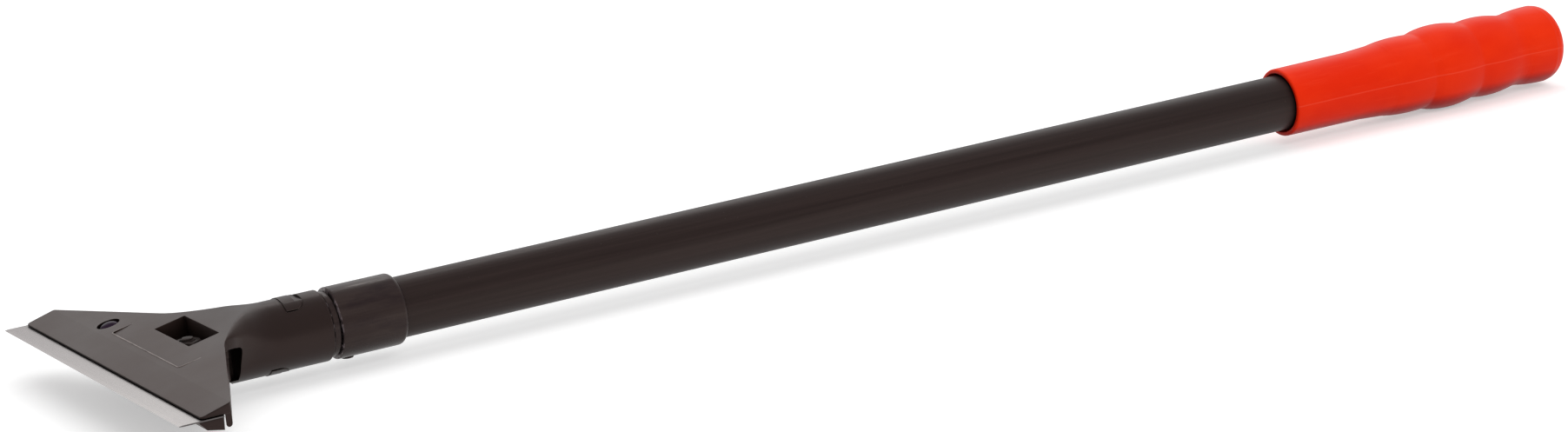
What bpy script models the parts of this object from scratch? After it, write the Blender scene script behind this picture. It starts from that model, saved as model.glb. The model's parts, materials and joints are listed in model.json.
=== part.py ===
# Long-handled scraper, modelled piece by piece in metres, +Z up.
# The pieces are laid out in a tool frame: X runs along the handle from the cutting edge
# to the end of the grip, Y runs along the blade, and the tube's axis is at Y = 0, Z = 0.
# An empty carries that frame to the middle of the tool, with the lowest point at Z = 0.

import math

import bmesh
import bpy
from mathutils import Matrix, Vector

# Gaps
FIT = 0.0003              # between two pieces that touch
SLIDE_FIT = 0.0005        # between the clamp jaw and the walls it moves between
OVERRUN = 0.002           # how far a cutter runs past the face it cuts

# Handle tube
TUBE_DIAMETER = 0.025
TUBE_WALL = 0.0012
TUBE_FREE_LENGTH = 0.440  # between the collar and the mouth of the grip

# Blade
BLADE_LENGTH = 0.200
BLADE_DEPTH = 0.018
BLADE_THICKNESS = 0.0005
BLADE_GRIND = 0.0016      # width of the ground bevel along the cutting edge
BLADE_LAND = 0.0001       # half thickness left at the cutting edge
BLADE_EXPOSURE = 0.0092   # how far the edge stands out of the jaws
BLADE_OVERHANG = 0.001    # how far its ends stand out past the head's ends
BLADE_LEVEL = 0.0015      # upper face of the blade above the tube's axis

# Head
HEAD_SLOPE = math.radians(11.8)       # rise of the upper face towards the handle
HEAD_LIP = 0.0007                     # height of the upper jaw's front face
SHOULDER_HEIGHT = 0.0041              # upper face above the blade's seat, at the shoulders
HEAD_CORNER = 0.0016                  # radius of the front corners in plan
HEAD_SHOULDER = 0.0015                # radius where the ends turn into the taper
HEAD_TAPER = math.radians(20.3)       # the rear edge against the blade
HEAD_FLARE = 0.033                    # radius from the rear edge into the neck
HEAD_EDGE = 0.0005                    # rounding of the upper edge
HEAD_SLIVER = 0.0002                  # least flat side left under that rounding
PLATE_THICKNESS = 0.003
SKIRT_THICKNESS = 0.0024
SKIRT_SETBACK = 0.0003                # from the blade's back edge, beyond the fit
SKIRT_INSET = 0.00015                 # the skirt stands this far inside the plate's edge
SKIRT_FRONT_LEVEL = 0.0038            # skirt's lower edge below the axis, at its front end
UNDERSIDE_SLOPE = math.radians(11.5)  # fall of the underside towards the handle
BACK_STOP_THICKNESS = 0.0024          # rail that the blade's back edge rests against
RIB_THICKNESS = 0.002
RIB_SHARES = (0.34, 0.60)             # places of the ribs, as shares of half the width

# Window in the upper face, and the well below it that holds the nut
WINDOW_WIDTH = 0.038
WINDOW_DEPTH = 0.0132
WINDOW_TO_NECK = 0.00205              # land behind the window
WELL_WALL = 0.0018
BLOCK_TO_WELL = 0.0009                # gap between the head's solid front and the well
WELL_FLOOR_LEVEL = 0.003
WELL_FLOOR_THICKNESS = 0.0018

# Shallow panel in the upper face
PANEL_WIDTH = 0.075
PANEL_TO_WINDOW = 0.0012
PANEL_LENGTH = 0.0105
PANEL_DEPTH = 0.0005
PANEL_CORNER = 0.0016
PANEL_RUNOUT_SHARE = 0.9              # part of the depth that is lost towards the window

# Neck
NECK_RADIUS = 0.01465
NECK_BORE_RADIUS = 0.0122
NECK_CHAMFER = 0.0005
NECK_LENGTH = 0.0463                  # round part, from the front wall of the neck
NECK_FRONT_WALL = 0.0112
CROWN_SOFTNESS = 0.0016               # rounds the change from the slope to the neck
FILLET_SOFTNESS = 0.0026              # rounds the pocket between the plate and the neck
POCKET_LENGTH = 0.007                 # behind the neck's front, until the flank is full
HAUNCH_SLOPE = math.radians(28)       # how fast the plate thickens along the flare
NECK_CHIN = math.radians(40)          # slope under the neck's front, which clears the knob

# Guide pins
GUIDE_FROM_END = 0.0487               # from each end of the head
GUIDE_SETBACK = 0.0185                # from the head's front face
GUIDE_RADIUS = 0.0028
GUIDE_HEAD_RADIUS = 0.0045
GUIDE_DOME_HEIGHT = 0.0021
GUIDE_SEAT_DEPTH = 0.0027             # of the seat below the upper face
GUIDE_ROOT = 0.003                    # how far the hidden pin runs up into the head
GUIDE_SHANK_ROOT = 0.0007             # how far the rivet's shank runs up into its dome

# Clamp jaw
JAW_FRONT_SETBACK = 0.0008            # the jaw's lip stands this far ahead of the head
JAW_BEVEL_DEPTH = 0.0026
JAW_LIP_HEIGHT = 0.0035
JAW_LIP_TIP = 0.0006
JAW_PLATE_THICKNESS = 0.003
JAW_REAR_CLEARANCE = 0.001
JAW_BOSS_RADIUS = 0.0076
JAW_RIB_THICKNESS = 0.002
JAW_RIB_SHARES = (0.20, 0.44)         # places of the ribs, as shares of half the width

# Clamp screw, nut, washer and knob
SCREW_RADIUS = 0.003
SCREW_TIP_CHAMFER = 0.0006
SCREW_REACH = 0.0012                  # tip above the nut
NUT_ACROSS_FLATS = 0.010
NUT_HEIGHT = 0.003
NUT_CROWN_SHARE = 0.7                 # chamfer's height, as a share of the corner's overhang
WASHER_RADIUS = 0.006
WASHER_THICKNESS = 0.001
KNOB_RADIUS = 0.0105
KNOB_LOBES = 8
KNOB_HUB_SHARE = 0.28                 # height of the plain hub, as a share of the knob's
KNOB_LOBE_DEPTH = 0.0011
KNOB_FOOT_LEVEL = 0.0195              # knob's lower face below the tube's axis
KNOB_EDGE = 0.0008
KNOB_SCREW_SOCKET = 0.006

# Coupling between the neck and the tube
SPIGOT_CLEARANCE = 0.0003
SPIGOT_WALL = 0.0023
SPIGOT_FRONT_GAP = 0.0006
SPIGOT_TAIL_LENGTH = 0.032
SPIGOT_WEB_THICKNESS = 0.0016
STOP_RING_RADIUS = 0.0134
STOP_RING_WIDTH = 0.003
STOP_RING_EDGE = 0.00025              # chamfer of its outer edges

# Latch buttons
LATCH_SETBACK = 0.0085                # rear end of the upper window, from the neck's rear end
LATCH_STAGGER = 0.0095                # the lower window stands this far ahead of the upper one
LATCH_WINDOW_LENGTH = 0.0088
LATCH_WINDOW_WIDTH = 0.0196
LATCH_WINDOW_CORNER = 0.0052
LATCH_PAD_LENGTH = 0.0054
LATCH_PAD_SINK = 0.0006               # of the pad's underside below the coupling's surface
LATCH_PAD_RISE = 0.0004
LATCH_STEP_DROP = 0.0012              # from the pad's top to the lower step's
LATCH_STEM_SETBACK = 0.0016
LATCH_TRAVEL = 0.003
LATCH_STEM_WIDTH = 0.009
LATCH_FLANGE_WIDTH = 0.013
LATCH_FLANGE_THICKNESS = 0.0012
LATCH_CLEARANCE = 0.0004
SPRING_RADIUS = 0.0024
SPRING_WIRE = 0.0004
SPRING_TURNS = 3
SPRING_POINTS_PER_TURN = 12

# Collar and its rivet
COLLAR_RADIUS = 0.0148
COLLAR_LENGTH = 0.0288
COLLAR_REAR_ROUND = 0.0019
COLLAR_FRONT_ROUND = 0.0005
RIVET_SETBACK = 0.0058
RIVET_RADIUS = 0.0019
RIVET_HEAD_RADIUS = 0.0038
RIVET_HEAD_HEIGHT = 0.0007
RIVET_HEAD_ROUND = 0.0004

# Grip
GRIP_LENGTH = 0.154
GRIP_MOUTH_THICKNESS = 0.003          # wall at the mouth, outside the tube
GRIP_CREST_THICKNESS = 0.007          # wall at the fullest swell
GRIP_MOUTH_ROUND = 0.0011
GRIP_MOUTH_FLARE = 0.0009             # opening of the bore at the mouth
GRIP_MOUTH_FLARE_LENGTH = 0.003
GRIP_END_ROUND = 0.0062
GRIP_END_WALL = 0.007
# Each swell: where it ends along the grip, then its wall at the start, crest and end
GRIP_SWELL_SHARES = (
    (0.348, 0.425, 0.470, 0.470),
    (0.509, 0.590, 0.750, 0.690),
    (0.688, 0.820, 1.000, 0.700),
    (0.842, 0.780, 0.850, 0.580),
    (1.000, 0.590, 0.780, 0.770),
)
GRIP_STEP_SHARE = 0.012               # length of the step up from a crease
GRIP_STEPS_PER_SWELL = 5
GRIP_TAPER_STEPS = 1                  # the first stretch is straight
PLUG_LENGTH = 0.012
PLUG_FLANGE = 0.0015
PLUG_BORE_RADIUS = 0.006

# Facets
ROUND_STEPS = 48
SMALL_ROUND_STEPS = 24
CORNER_STEPS = 4
FLARE_STEPS = 9
ROUNDOVER_STEPS = 6
COLLAR_FRONT_STEPS = 2
KNOB_STEPS_PER_LOBE = 6
SECTION_TOP_STEPS = 3
SECTION_ARC_STEPS = 8
SECTION_LOWER_STEPS = 13
SECTION_CORNER_SPREAD = math.radians(3)
SECTION_POCKET_STEP = math.radians(0.2)

# Places that follow from the sizes
TUBE_RADIUS = TUBE_DIAMETER / 2
TUBE_BORE_RADIUS = TUBE_RADIUS - TUBE_WALL
SEAT_LEVEL = BLADE_LEVEL + FIT
JAW_TOP = BLADE_LEVEL - BLADE_THICKNESS - FIT
HEAD_FRONT = BLADE_EXPOSURE
HALF_WIDTH = BLADE_LENGTH / 2 - BLADE_OVERHANG
SKIRT_SPAN = SKIRT_THICKNESS / math.cos(HEAD_TAPER)
STRIP_END = BLADE_DEPTH + FIT + SKIRT_SETBACK + SKIRT_SPAN + SKIRT_INSET
TAPER_RISE = math.tan(HEAD_TAPER)
TAPER_MEETS_NECK = STRIP_END + (HALF_WIDTH - NECK_RADIUS) * TAPER_RISE
NECK_FRONT = TAPER_MEETS_NECK - SKIRT_THICKNESS / 2
NECK_END = NECK_FRONT + NECK_LENGTH + SKIRT_THICKNESS / 2
BORE_FRONT = NECK_FRONT + NECK_FRONT_WALL
WINDOW_FRONT = NECK_FRONT - WINDOW_TO_NECK - WINDOW_DEPTH
WELL_FRONT = WINDOW_FRONT - WELL_WALL
BLOCK_END = WELL_FRONT - BLOCK_TO_WELL
WELL_FLOOR_UNDERSIDE = WELL_FLOOR_LEVEL - WELL_FLOOR_THICKNESS
SCREW_X = WINDOW_FRONT + WINDOW_DEPTH / 2 - FIT
GUIDE_X = HEAD_FRONT + GUIDE_SETBACK
GUIDE_Y = HALF_WIDTH - GUIDE_FROM_END
RING_FRONT = NECK_END + FIT
RING_REAR = RING_FRONT + STOP_RING_WIDTH
COLLAR_FRONT = RING_REAR + FIT
COLLAR_REAR = COLLAR_FRONT + COLLAR_LENGTH
TUBE_FRONT = COLLAR_FRONT + FIT
GRIP_FRONT = COLLAR_REAR + TUBE_FREE_LENGTH
GRIP_REAR = GRIP_FRONT + GRIP_LENGTH
TUBE_REAR = GRIP_REAR - GRIP_END_WALL - PLUG_FLANGE - 2 * FIT
SPIGOT_FRONT_RADIUS = NECK_BORE_RADIUS - SPIGOT_CLEARANCE
SPIGOT_TAIL_RADIUS = TUBE_BORE_RADIUS - SPIGOT_CLEARANCE
SPIGOT_BORE_RADIUS = SPIGOT_FRONT_RADIUS - SPIGOT_WALL
LATCH_PAD_SEAT = SPIGOT_FRONT_RADIUS - LATCH_PAD_SINK
FLANGE_TOP = math.sqrt(SPIGOT_BORE_RADIUS ** 2 - (LATCH_FLANGE_WIDTH / 2) ** 2) - FIT
FLANGE_UNDERSIDE = FLANGE_TOP - LATCH_FLANGE_THICKNESS
GRIP_CREST_RADIUS = TUBE_RADIUS + GRIP_CREST_THICKNESS
REST_HEIGHT = max(GRIP_CREST_RADIUS, KNOB_FOOT_LEVEL)


# Basics

def clear_scene():
    for old in list(bpy.data.objects):
        bpy.data.objects.remove(old, do_unlink=True)


def make_material(name, colour, roughness, metallic=0.0):
    material = bpy.data.materials.new(name)
    material.use_nodes = True
    shader = material.node_tree.nodes["Principled BSDF"]
    shader.inputs["Base Color"].default_value = (*colour, 1.0)
    shader.inputs["Roughness"].default_value = roughness
    shader.inputs["Metallic"].default_value = metallic
    return material


def finish_mesh(mesh_data, name):
    bmesh.ops.remove_doubles(mesh_data, verts=mesh_data.verts, dist=1e-6)
    bmesh.ops.recalc_face_normals(mesh_data, faces=mesh_data.faces)
    mesh = bpy.data.meshes.new(name)
    mesh_data.to_mesh(mesh)
    mesh_data.free()
    return mesh


def place(mesh, name, location=(0, 0, 0)):
    thing = bpy.data.objects.new(name, mesh)
    thing.location = location
    bpy.context.scene.collection.objects.link(thing)
    return thing


def shade_round(thing, angle=math.radians(35)):
    thing.data.shade_smooth()
    thing.data.set_sharp_from_angle(angle=angle)


# Shape makers

def turned(name, profile, steps=ROUND_STEPS, axis="X", location=(0, 0, 0)):
    # A closed profile of (along, radius) points turned about the axis
    mesh_data = bmesh.new()
    verts = [mesh_data.verts.new((along, 0, radius)) for along, radius in profile]
    edges = [mesh_data.edges.new((a, b)) for a, b in zip(verts, verts[1:] + verts[:1])]
    bmesh.ops.spin(mesh_data, geom=verts + edges, cent=(0, 0, 0), axis=(1, 0, 0),
                   angle=2 * math.pi, steps=steps, use_merge=True)
    bmesh.ops.remove_doubles(mesh_data, verts=mesh_data.verts, dist=1e-6)
    bmesh.ops.dissolve_degenerate(mesh_data, edges=mesh_data.edges, dist=1e-7)
    if axis == "Z":
        turn = Matrix.Rotation(-math.pi / 2, 3, "Y")
        bmesh.ops.rotate(mesh_data, verts=mesh_data.verts, cent=(0, 0, 0), matrix=turn)
    return place(finish_mesh(mesh_data, name), name, location)


def circle(radius, steps):
    angles = [2 * math.pi * (i + 0.5) / steps for i in range(steps)]
    return [(radius * math.cos(a), radius * math.sin(a)) for a in angles]


def post(name, radius, low, high, steps=SMALL_ROUND_STEPS, location=(0, 0, 0)):
    # An upright cylinder
    return prism(name, circle(radius, steps), low, high, location)


def prism(name, outline, low, high, location=(0, 0, 0)):
    # An outline in plan raised between two levels, each a number or a function of (x, y)
    def level(value, x, y):
        return value(x, y) if callable(value) else value
    mesh_data = bmesh.new()
    bottom = [mesh_data.verts.new((x, y, level(low, x, y))) for x, y in outline]
    top = [mesh_data.verts.new((x, y, level(high, x, y))) for x, y in outline]
    mesh_data.faces.new(bottom)
    mesh_data.faces.new(top)
    count = len(outline)
    for i in range(count):
        j = (i + 1) % count
        mesh_data.faces.new((bottom[i], bottom[j], top[j], top[i]))
    return place(finish_mesh(mesh_data, name), name, location)


def side_prism(name, outline, low, high):
    # An outline in (x, z) drawn out along Y
    mesh_data = bmesh.new()
    near = [mesh_data.verts.new((x, low, z)) for x, z in outline]
    far = [mesh_data.verts.new((x, high, z)) for x, z in outline]
    mesh_data.faces.new(near)
    mesh_data.faces.new(far)
    count = len(outline)
    for i in range(count):
        j = (i + 1) % count
        mesh_data.faces.new((near[i], near[j], far[j], far[i]))
    return place(finish_mesh(mesh_data, name), name)


def rectangle(x_low, x_high, y_low, y_high):
    return [(x_low, y_low), (x_high, y_low), (x_high, y_high), (x_low, y_high)]


def loft(name, sections):
    # Closed sections with the same count of points, joined in order and capped
    mesh_data = bmesh.new()
    rings = [[mesh_data.verts.new(point) for point in section] for section in sections]
    count = len(rings[0])
    for ring, following in zip(rings, rings[1:]):
        for i in range(count):
            j = (i + 1) % count
            mesh_data.faces.new((ring[i], ring[j], following[j], following[i]))
    mesh_data.faces.new(rings[0])
    mesh_data.faces.new(rings[-1])
    return place(finish_mesh(mesh_data, name), name)


def arc(centre, radius, start, end, steps):
    angles = [start + (end - start) * i / steps for i in range(steps + 1)]
    return [(centre[0] + radius * math.cos(a), centre[1] + radius * math.sin(a)) for a in angles]


def rounded_path(points, radii, steps):
    # A path through the points whose inner corners are arcs of the given radii
    path = [tuple(points[0])]
    for before, corner, after, radius, count in zip(points, points[1:], points[2:], radii, steps):
        corner = Vector(corner)
        back = (Vector(before) - corner).normalized()
        ahead = (Vector(after) - corner).normalized()
        half = back.angle(ahead) / 2
        reach = radius / math.tan(half)
        middle = corner + (back + ahead).normalized() * (radius / math.sin(half))
        start = corner + back * reach - middle
        end = corner + ahead * reach - middle
        sweep = start.angle_signed(end)
        for i in range(count + 1):
            turn = Matrix.Rotation(-sweep * i / count, 2)
            path.append(tuple(middle + turn @ start))
    path.append(tuple(points[-1]))
    return path


def combine(target, other, operation):
    # Boolean of two solids, applied at once; the second one is used up
    modifier = target.modifiers.new("combine", "BOOLEAN")
    modifier.operation = operation
    modifier.solver = "EXACT"
    modifier.object = other
    bpy.context.view_layer.update()
    evaluated = target.evaluated_get(bpy.context.evaluated_depsgraph_get())
    mesh = bpy.data.meshes.new_from_object(evaluated)
    target.modifiers.clear()
    old = target.data
    target.data = mesh
    mesh.name = target.name
    bpy.data.meshes.remove(old)
    used = other.data
    bpy.data.objects.remove(other, do_unlink=True)
    bpy.data.meshes.remove(used)
    return target


def join(target, *others):
    for other in others:
        combine(target, other, "UNION")
    return target


def cut(target, *others):
    for other in others:
        combine(target, other, "DIFFERENCE")
    return target


# Rules that several pieces share

def slope_level(x):
    # The head's upper face, which falls away faster from the shoulders to the lip
    behind = SHOULDER_HEIGHT + (x - STRIP_END) * math.tan(HEAD_SLOPE)
    nose_share = (x - HEAD_FRONT) / (STRIP_END - HEAD_FRONT)
    nose = HEAD_LIP + (SHOULDER_HEIGHT - HEAD_LIP) * nose_share
    return SEAT_LEVEL + min(behind, nose)


def underside_level(x):
    # The lower edge of the skirt and of the jaw
    return -SKIRT_FRONT_LEVEL - (x - STRIP_END) * math.tan(UNDERSIDE_SLOPE)


def soft_lower(a, b, softness):
    return (a + b - math.hypot(a - b, softness)) / 2


def soft_upper(a, b, softness):
    return (a + b + math.hypot(a - b, softness)) / 2


def smooth_share(value):
    value = min(max(value, 0.0), 1.0)
    return value * value * (3 - 2 * value)


# Head

def head_outline():
    # Half of the head in plan, as (x, half width), from the front corner to the neck
    points = [
        (HEAD_FRONT, 0),
        (HEAD_FRONT, HALF_WIDTH),
        (STRIP_END, HALF_WIDTH),
        (TAPER_MEETS_NECK, NECK_RADIUS),
        (NECK_END - NECK_CHAMFER, NECK_RADIUS),
    ]
    radii = (HEAD_CORNER, HEAD_SHOULDER, HEAD_FLARE)
    return rounded_path(points, radii, (CORNER_STEPS, CORNER_STEPS, FLARE_STEPS))[1:]


def flare_span(outline):
    # Where the flare starts, on the taper, and ends, on the neck
    flare_start = outline[2 * (CORNER_STEPS + 1)][0]
    flare_end = outline[-2][0]
    return flare_start, flare_end


def flank_reach(turn, side, width, edge, neck):
    # From the middle at the side's level to the hull of the rounded edge and the neck
    across, down = math.cos(turn), math.sin(turn)
    neck_reach = side * down + math.sqrt(max(neck ** 2 - (side * across) ** 2, 0))
    inner = width - edge
    apart = math.hypot(inner, side)
    if apart <= neck - edge:
        return neck_reach
    tilt = math.acos((neck - edge) / apart) - math.atan2(side, inner)
    rise, run = math.sin(tilt), math.cos(tilt)
    if turn < math.atan2(edge * rise, inner + edge * run):
        return inner * across + math.sqrt(max(edge ** 2 - (inner * down) ** 2, 0))
    if turn > math.atan2(side + neck * rise, neck * run):
        return neck_reach
    return (neck + side * rise) / (across * run + down * rise)


def section_half(x, width, flare, with_neck, shrink=0.0):
    # Right half of the section at x, from the top middle to the bottom middle
    turned_share = smooth_share((x - flare[0]) / (flare[1] - flare[0]))
    neck = NECK_RADIUS - shrink
    width = width - shrink
    top = min(soft_lower(slope_level(x), NECK_RADIUS, CROWN_SOFTNESS * (1 - turned_share)),
              neck)
    edge = HEAD_EDGE + (neck - HEAD_EDGE) * turned_share
    side = top - edge
    if x < BLOCK_END:
        bottom = SEAT_LEVEL
        edge = min(edge, top - bottom - HEAD_SLIVER)
        side = top - edge
    else:
        haunch = min(max(x - flare[0], 0), NECK_FRONT + POCKET_LENGTH - flare[0])
        thickness = PLATE_THICKNESS + haunch * math.tan(HAUNCH_SLOPE)
        bottom = min(top - thickness, side - HEAD_SLIVER)
    points = []
    for i in range(SECTION_TOP_STEPS):
        points.append(((width - edge) * i / SECTION_TOP_STEPS, top))
    points += arc((width - edge, side), edge, math.pi / 2, 0, SECTION_ARC_STEPS)
    # Below the side point the plate and the neck are joined by directions from the middle
    spread = SECTION_CORNER_SPREAD * turned_share
    corner = math.atan2(side - bottom, width) + spread
    pocket_reach = math.sqrt(max(neck ** 2 - bottom ** 2, 0)) + FILLET_SOFTNESS
    pocket = max(math.atan2(side - bottom, pocket_reach), corner) + spread + SECTION_POCKET_STEP
    turns = [corner, pocket]
    for i in range(1, SECTION_LOWER_STEPS + 1):
        turns.append(pocket + (math.pi / 2 - pocket) * i / SECTION_LOWER_STEPS)
    for turn in turns:
        across, down = math.cos(turn), math.sin(turn)
        plate_reach = min(width / max(across, 1e-9), (side - bottom) / down)
        reach = plate_reach
        if with_neck:
            neck_reach = side * down + math.sqrt(max(neck ** 2 - (side * across) ** 2, 0))
            softness = FILLET_SOFTNESS * (1 - turned_share) if turn > corner else 0
            reach = soft_upper(plate_reach, neck_reach, softness)
            full = smooth_share((x - NECK_FRONT) / POCKET_LENGTH)
            reach += (flank_reach(turn, side, width, edge, neck) - reach) * full
        points.append((reach * across, side - reach * down))
    return points


def mirrored_section(x, half):
    right = [(x, y, z) for y, z in half]
    left = [(x, -y, z) for y, z in half[-2:0:-1]]
    return right + left


def head_shell():
    # The wedge plate that widens to the blade and closes round into the neck
    outline = head_outline()
    flare = flare_span(outline)
    steps = (BLOCK_END - FIT, BLOCK_END, NECK_FRONT, NECK_FRONT + FIT)
    stations = sorted(list(outline) + [(x, outline_width(outline, x)) for x in steps])
    sections = []
    for x, width in stations:
        with_neck = x > NECK_FRONT
        sections.append(mirrored_section(x, section_half(x, width, flare, with_neck)))
    last = section_half(NECK_END, NECK_RADIUS, flare, True, NECK_CHAMFER)
    sections.append(mirrored_section(NECK_END, last))
    return loft("head_body", sections)


def outline_width(outline, x):
    # Half width of the head at x, read along its outline
    for (x0, w0), (x1, w1) in zip(outline, outline[1:]):
        if x0 <= x <= x1 and x1 > x0:
            return w0 + (w1 - w0) * (x - x0) / (x1 - x0)
    return outline[-1][1]


def skirt_wall(side):
    # The wall under the rear edge, from the end of the head to the neck, rounded below
    end = HALF_WIDTH - SKIRT_INSET
    radius = SKIRT_SPAN / 2
    sections = []
    for reach in (end, NECK_RADIUS - SKIRT_THICKNESS):
        middle = STRIP_END - SKIRT_INSET - radius + (end - reach) * TAPER_RISE
        edge = arc((middle, underside_level(middle) + radius), radius, 0, -math.pi,
                   ROUNDOVER_STEPS)
        for x in (middle - radius, middle + radius):
            edge.append((x, slope_level(x) - PLATE_THICKNESS / 2))
        sections.append([(x, side * reach, z) for x, z in edge])
    return loft("skirt", sections)


def back_stop():
    # The rail behind the blade's back edge
    front = BLADE_DEPTH + FIT
    half = HALF_WIDTH - SKIRT_THICKNESS
    return prism("back_stop", rectangle(front, front + BACK_STOP_THICKNESS, -half, half),
                 JAW_TOP + FIT, SEAT_LEVEL + PLATE_THICKNESS / 2)


def head_rib(share):
    y = share * HALF_WIDTH
    front = BLOCK_END - RIB_THICKNESS
    rear = STRIP_END + (HALF_WIDTH - abs(y)) * TAPER_RISE - SKIRT_THICKNESS / 2
    plan = rectangle(front, rear, y - RIB_THICKNESS / 2, y + RIB_THICKNESS / 2)
    return prism("rib", plan, WELL_FLOOR_UNDERSIDE,
                 lambda x, y: slope_level(x) - PLATE_THICKNESS / 2)


def nut_well():
    # The box below the window: its walls and the floor that the nut lies on
    half = WINDOW_WIDTH / 2 + WELL_WALL
    plan = rectangle(WELL_FRONT, WINDOW_FRONT + WINDOW_DEPTH + WELL_WALL, -half, half)
    return prism("well", plan, WELL_FLOOR_UNDERSIDE,
                 lambda x, y: slope_level(x) - PLATE_THICKNESS / 2)


def head_bulkhead():
    # The front wall of the neck, inside the skirt
    half = NECK_RADIUS - HEAD_EDGE
    plan = rectangle(NECK_FRONT - FIT, NECK_FRONT + NECK_FRONT_WALL / 2, -half, half)
    return prism("bulkhead", plan, underside_level(NECK_FRONT),
                 lambda x, y: slope_level(x) - PLATE_THICKNESS / 2)


def chin_cutter():
    # The sloping cut under the neck's front
    front = NECK_FRONT - OVERRUN
    start = underside_level(NECK_FRONT) + HEAD_EDGE + OVERRUN * math.tan(NECK_CHIN)
    low = -NECK_RADIUS - OVERRUN
    rear = front + (start - low) / math.tan(NECK_CHIN)
    outline = [(front, start), (rear, low), (front, low)]
    return side_prism("chin", outline, -NECK_RADIUS - OVERRUN, NECK_RADIUS + OVERRUN)


def window_cutter():
    half = WINDOW_WIDTH / 2
    plan = rectangle(WINDOW_FRONT, WINDOW_FRONT + WINDOW_DEPTH, -half, half)
    return prism("window", plan, WELL_FLOOR_LEVEL, lambda x, y: slope_level(x) + OVERRUN)


def panel_cutter():
    # A shallow panel whose floor runs out towards the window
    front = WINDOW_FRONT - PANEL_TO_WINDOW - PANEL_LENGTH
    half = PANEL_WIDTH / 2
    corners = [(front + PANEL_LENGTH, -half), (front, -half), (front, half),
               (front + PANEL_LENGTH, half)]
    path = rounded_path(corners, (PANEL_CORNER, PANEL_CORNER), (CORNER_STEPS, CORNER_STEPS))

    def floor(x, y):
        runout = PANEL_RUNOUT_SHARE * (x - front) / PANEL_LENGTH
        return slope_level(x) - PANEL_DEPTH * (1 - runout)
    return prism("panel", path, floor, lambda x, y: slope_level(x) + OVERRUN)


def stand_on_slope(thing):
    # Turns a piece made about the origin square to the upper face, over the guide rivet
    thing.location = (GUIDE_X, GUIDE_Y, slope_level(GUIDE_X))
    thing.rotation_euler.y = -HEAD_SLOPE
    bpy.context.view_layer.update()
    thing.data.transform(thing.matrix_world)
    thing.matrix_world = Matrix.Identity(4)
    return thing


def guide_seat_cutter():
    cutter = post("seat", GUIDE_HEAD_RADIUS + FIT, -GUIDE_SEAT_DEPTH, OVERRUN, ROUND_STEPS)
    return stand_on_slope(cutter)


def latch_span(side):
    # Front and rear end of the upper window, for side 1, or of the lower one
    rear = NECK_END - LATCH_SETBACK - LATCH_STAGGER * (1 - side) / 2
    return rear - LATCH_WINDOW_LENGTH, rear


def latch_outline(side, inset):
    # Straight in front, rounded behind
    half = LATCH_WINDOW_WIDTH / 2 - inset
    corner = LATCH_WINDOW_CORNER - inset
    front, rear = latch_span(side)
    front += inset
    rear -= inset
    corners = [(front, -half), (rear, -half), (rear, half), (front, half)]
    return rounded_path(corners, (corner, corner), (ROUNDOVER_STEPS, ROUNDOVER_STEPS))


def latch_window_cutter(side):
    low, high = sorted((0, side * (NECK_RADIUS + OVERRUN)))
    return prism("latch_window", latch_outline(side, 0), low, high)


def make_head(material):
    head = head_shell()
    join(head, skirt_wall(1), skirt_wall(-1), head_bulkhead(), back_stop(), nut_well())
    for share in RIB_SHARES:
        join(head, head_rib(share), head_rib(-share))
    bore = [(BORE_FRONT, 0), (BORE_FRONT, NECK_BORE_RADIUS),
            (NECK_END + OVERRUN, NECK_BORE_RADIUS), (NECK_END + OVERRUN, 0)]
    cut(head, chin_cutter(), turned("bore", bore), window_cutter(), panel_cutter())
    cut(head, latch_window_cutter(1), latch_window_cutter(-1), guide_seat_cutter())
    cut(head, post("guide_hole", GUIDE_RADIUS + FIT, 0, slope_level(GUIDE_X), SMALL_ROUND_STEPS,
                   (GUIDE_X, GUIDE_Y, 0)))
    cut(head, post("pin_hole", GUIDE_RADIUS + FIT, 0, SEAT_LEVEL + GUIDE_ROOT + FIT,
                   SMALL_ROUND_STEPS, (GUIDE_X, -GUIDE_Y, 0)))
    cut(head, post("screw_hole", SCREW_RADIUS + FIT, WELL_FLOOR_UNDERSIDE - OVERRUN,
                   WELL_FLOOR_LEVEL + OVERRUN, SMALL_ROUND_STEPS, (SCREW_X, 0, 0)))
    return dress(head, material)


# Blade and clamp

def make_blade(material):
    top = BLADE_LEVEL
    bottom = BLADE_LEVEL - BLADE_THICKNESS
    middle = (top + bottom) / 2
    outline = [(0, middle - BLADE_LAND), (0, middle + BLADE_LAND), (BLADE_GRIND, top),
               (BLADE_DEPTH, top), (BLADE_DEPTH, bottom), (BLADE_GRIND, bottom)]
    blade = side_prism("blade", outline, -BLADE_LENGTH / 2, BLADE_LENGTH / 2)
    return dress(blade, material)


def jaw_front():
    return HEAD_FRONT - JAW_FRONT_SETBACK


def jaw_heel():
    # End of the bevel along the jaw's front
    return jaw_front() + JAW_BEVEL_DEPTH


def jaw_underside(x):
    return JAW_TOP - JAW_LIP_HEIGHT - (x - jaw_heel()) * math.tan(UNDERSIDE_SLOPE)


def jaw_rear_edge(y):
    # The jaw stays clear of the skirt's inner face
    inner = BLADE_DEPTH + FIT + (HALF_WIDTH - abs(y)) * TAPER_RISE
    return inner - SLIDE_FIT / math.cos(HEAD_TAPER)


def jaw_rear():
    return NECK_FRONT - JAW_REAR_CLEARANCE


def jaw_section():
    # Side view: the bar that presses on the blade, then the plate behind it
    front, heel, rear = jaw_front(), jaw_heel(), jaw_rear()
    step = BLADE_DEPTH + FIT
    low_step = step + JAW_PLATE_THICKNESS
    return [
        (front, JAW_TOP),
        (front, JAW_TOP - JAW_LIP_TIP),
        (heel, JAW_TOP - JAW_LIP_HEIGHT),
        (rear, jaw_underside(rear)),
        (rear, jaw_underside(rear) + JAW_PLATE_THICKNESS),
        (low_step, jaw_underside(low_step) + JAW_PLATE_THICKNESS),
        (step, JAW_TOP),
    ]


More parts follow.
